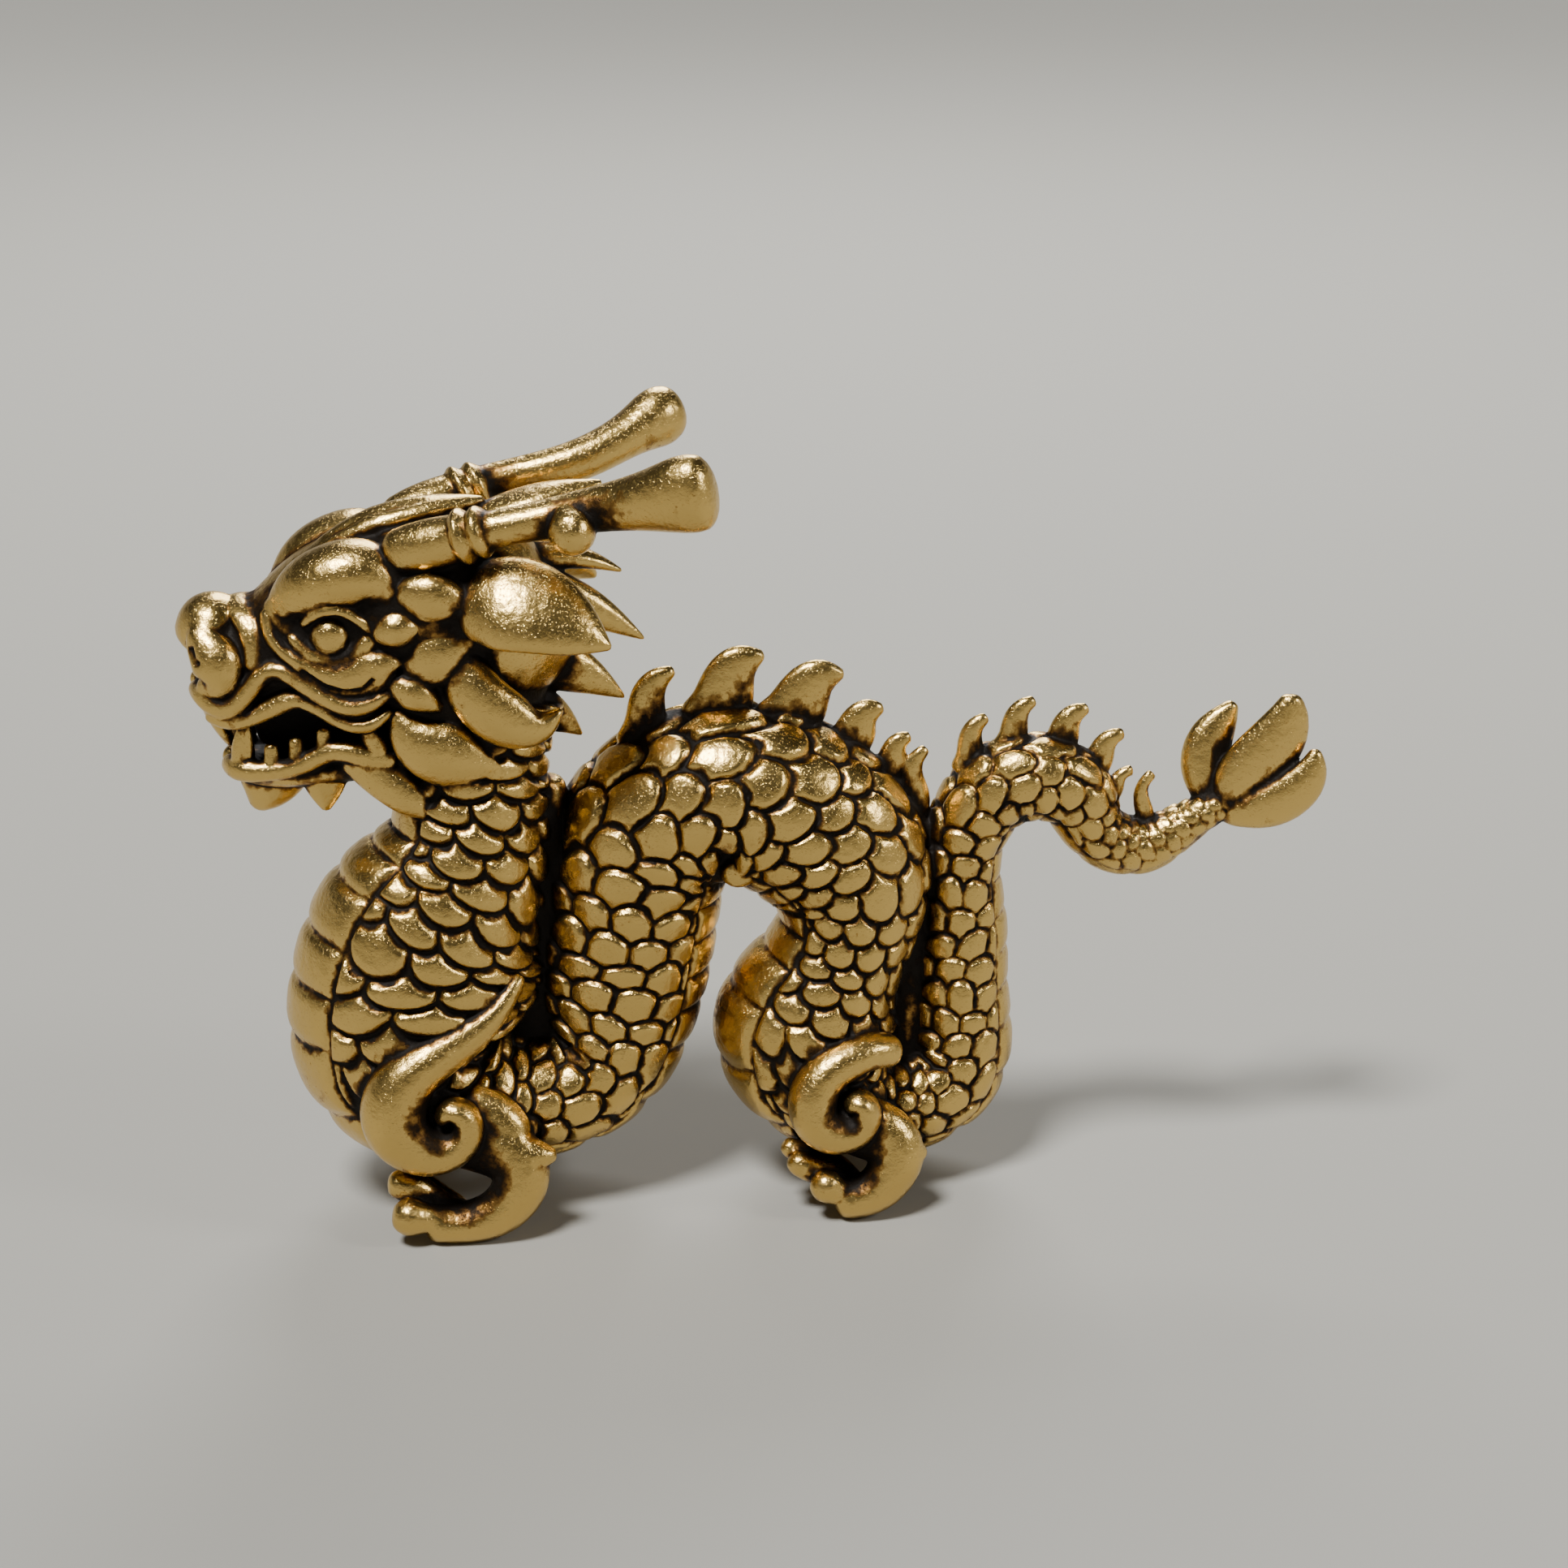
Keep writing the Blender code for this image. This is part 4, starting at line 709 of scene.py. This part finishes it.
def antique_brass():
    """Cast brass, darkened and rubbed back: bright pale gold on the tops, brown on the flats, near black in
    the hollows, where the film is matt. Shade is painted in as well: darker where the surface is sheltered,
    inside the mouth and on faces turned down. Some scales keep a reddish film, and fine casting grain and
    small pits break up the shine."""
    metal = bpy.data.materials.new("antique_cast_brass")
    metal.use_nodes = True
    tree = metal.node_tree
    shader = tree.nodes["Principled BSDF"]
    marks = {name: add(tree, "ShaderNodeAttribute", {"attribute_name": name})
             for name in ("groove", "broad", "occlusion_patina_and_shade", "under", "scale_gap", "scale_tone", "scaly")}
    place = add(tree, "ShaderNodeTexCoord")
    noise = {name: add(tree, "ShaderNodeTexNoise", {}, {"Vector": (place, "Object"), "Scale": 1000 / grain,
                                                        "Detail": detail})
             for name, grain, detail in GRAINS}
    worn = {name: add(tree, "ShaderNodeMapRange", {},
                      {"Value": (noise[name], "Fac"), "From Min": 0.38, "From Max": 0.62})
            for name in ("patch", "mottle")}
    line = add(tree, "ShaderNodeMapRange", {"interpolation_type": "SMOOTHSTEP"},
               {"Value": (marks["scale_gap"], "Fac"), "From Min": 0.010, "From Max": 0.072,
                "To Min": 0.46, "To Max": 0.0})
    rim = add(tree, "ShaderNodeMapRange", {"interpolation_type": "SMOOTHSTEP"},
              {"Value": (marks["scale_gap"], "Fac"), "From Min": 0.05, "From Max": 0.32,
               "To Min": 0.14, "To Max": 0.0})
    pit = add(tree, "ShaderNodeMapRange", {"interpolation_type": "SMOOTHSTEP"},
              {"Value": (noise["grit"], "Fac"), "From Min": 0.57, "From Max": 0.68,
               "To Min": 0.0, "To Max": 0.11})
    # From 0 on the brightest tops to 1 in the blackest hollows, with each mark's share in it, the painted
    # shade of shelter and of facing down among them.
    dark = add(tree, "ShaderNodeMath", {}, {0: (line, "Result"), 1: (pit, "Result")})
    dark = add(tree, "ShaderNodeMath", {}, {0: (rim, "Result"), 1: (dark, 0)})
    # The sheltered share adds painted shade along with the unrubbed patina; the share for facing down adds
    # painted shade alone.
    for source, slot, share in ((marks["groove"], "Fac", 0.42), (marks["occlusion_patina_and_shade"], "Fac", 1.05),
                                (marks["broad"], "Fac", 0.14), (marks["under"], "Fac", 0.22),
                                (marks["scaly"], "Fac", 0.20), (marks["scale_tone"], "Fac", 0.20),
                                (worn["patch"], "Result", 0.30), (worn["mottle"], "Result", 0.34)):
        dark = add(tree, "ShaderNodeMath", {"operation": "MULTIPLY_ADD"},
                   {0: (source, slot), 1: share, 2: (dark, 0)})
    ramp = add(tree, "ShaderNodeValToRGB", {}, {"Fac": (dark, 0)})
    while len(ramp.color_ramp.elements) < len(BRASS):
        ramp.color_ramp.elements.new(0.5)
    for element, (position, colour) in zip(ramp.color_ramp.elements, BRASS):
        element.position = position
        element.color = linear(colour)
    warm = add(tree, "ShaderNodeMapRange", {},
               {"Value": (marks["scale_tone"], "Fac"), "From Min": 0.5, "From Max": 1.0,
                "To Min": 0.0, "To Max": 0.7})
    tinted = add(tree, "ShaderNodeMix", {"data_type": "RGBA", "blend_type": "MULTIPLY"},
                 {0: (warm, "Result"), 6: (ramp, "Color"), 7: linear(REDDISH_FILM)})
    tree.links.new(tinted.outputs[2], shader.inputs["Base Color"])
    bare = add(tree, "ShaderNodeMapRange", {},
               {"Value": (dark, 0), "From Min": 0.66, "From Max": 1.15, "To Min": 1.0, "To Max": 0.3})
    tree.links.new(bare.outputs["Result"], shader.inputs["Metallic"])
    rough = add(tree, "ShaderNodeMapRange", {},
                {"Value": (dark, 0), "From Min": 0.3, "From Max": 1.0, "To Min": 0.26, "To Max": 0.60})
    tree.links.new(rough.outputs["Result"], shader.inputs["Roughness"])
    skin = add(tree, "ShaderNodeMath", {"operation": "MULTIPLY_ADD"},
               {0: (pit, "Result"), 1: -1.0, 2: (noise["mottle"], "Fac")})
    bump = add(tree, "ShaderNodeBump", {}, {"Height": (skin, 0), "Strength": 0.55, "Distance": 0.00016})
    tree.links.new(bump.outputs["Normal"], shader.inputs["Normal"])
    shader.inputs["Specular IOR Level"].default_value = 0.2
    return metal


casting.data.materials.clear()
casting.data.materials.append(antique_brass())


# The floor, the lights and the camera
# A plain pale floor that runs out to a pale horizon, one broad soft light high in front, a small one at the
# side and one behind, and the photograph's own viewpoint.

FLOOR_WIDTH = 24.0
FLOOR_COLOUR = "#98968F"
TOWARDS_KEY = Vector((-0.15, -0.16, 0.42))
SMALL_LIGHTS = (("side_light", (0.34, -0.16, 0.24), 0.6, 0.10), ("rim_light", (0.05, 0.36, 0.30), 1.6, 0.20))
LIGHTS_AIM = Vector((0, 0, 0.025))
AIR = ((0.16, "#B4B2AE"), (0.40, "#24221F"))  # the sine of the height over the horizon, and the colour there
CAMERA_TARGET, CAMERA_DISTANCE = Vector((1.305, 0, 29.764)), 259.24
CAMERA_AZIMUTH, CAMERA_ELEVATION = math.radians(-6), math.radians(20)


def studio():
    bpy.ops.object.select_all(action="DESELECT")
    bpy.ops.mesh.primitive_plane_add(size=FLOOR_WIDTH, location=(0, 0, 0))
    floor = bpy.context.object
    floor.name = "floor"
    paint = bpy.data.materials.new("matt_pale_board")
    paint.use_nodes = True
    board = paint.node_tree.nodes["Principled BSDF"]
    board.inputs["Base Color"].default_value = linear(FLOOR_COLOUR)
    board.inputs["Roughness"].default_value = 0.9
    floor.data.materials.append(paint)
    sun = bpy.data.lights.new("key_light", "SUN")
    sun.energy = 5.0
    sun.angle = math.radians(15)
    holder = bpy.data.objects.new("key_light", sun)
    holder.rotation_euler = TOWARDS_KEY.to_track_quat("Z", "Y").to_euler()
    bpy.context.scene.collection.objects.link(holder)
    for name, place, power, size in SMALL_LIGHTS:
        lamp = bpy.data.lights.new(name, "AREA")
        lamp.energy = power
        lamp.size = size
        holder = bpy.data.objects.new(name, lamp)
        holder.location = place
        holder.rotation_euler = (LIGHTS_AIM - Vector(place)).to_track_quat("-Z", "Y").to_euler()
        bpy.context.scene.collection.objects.link(holder)
    world = bpy.data.worlds.new("studio_air")
    world.use_nodes = True
    air = world.node_tree
    way = add(air, "ShaderNodeTexCoord")
    rise = add(air, "ShaderNodeSeparateXYZ", {}, {"Vector": (way, "Generated")})
    sky = add(air, "ShaderNodeValToRGB", {}, {"Fac": (rise, "Z")})
    for element, (position, colour) in zip(sky.color_ramp.elements, AIR):
        element.position = position
        element.color = linear(colour)
    air.links.new(sky.outputs["Color"], air.nodes["Background"].inputs["Color"])
    air.nodes["Background"].inputs["Strength"].default_value = 0.9
    bpy.context.scene.world = world
    back = Vector((math.sin(CAMERA_AZIMUTH) * math.cos(CAMERA_ELEVATION),
                   -math.cos(CAMERA_AZIMUTH) * math.cos(CAMERA_ELEVATION), math.sin(CAMERA_ELEVATION)))
    camera = bpy.data.objects.new("camera", bpy.data.cameras.new("camera"))
    camera.data.lens = 85
    camera.data.sensor_width = 36
    camera.data.clip_start = 0.01
    camera.location = (CAMERA_TARGET + back * CAMERA_DISTANCE) * MM
    camera.rotation_euler = (-back).to_track_quat("-Z", "Y").to_euler()
    bpy.context.scene.collection.objects.link(camera)
    bpy.context.scene.camera = camera


studio()
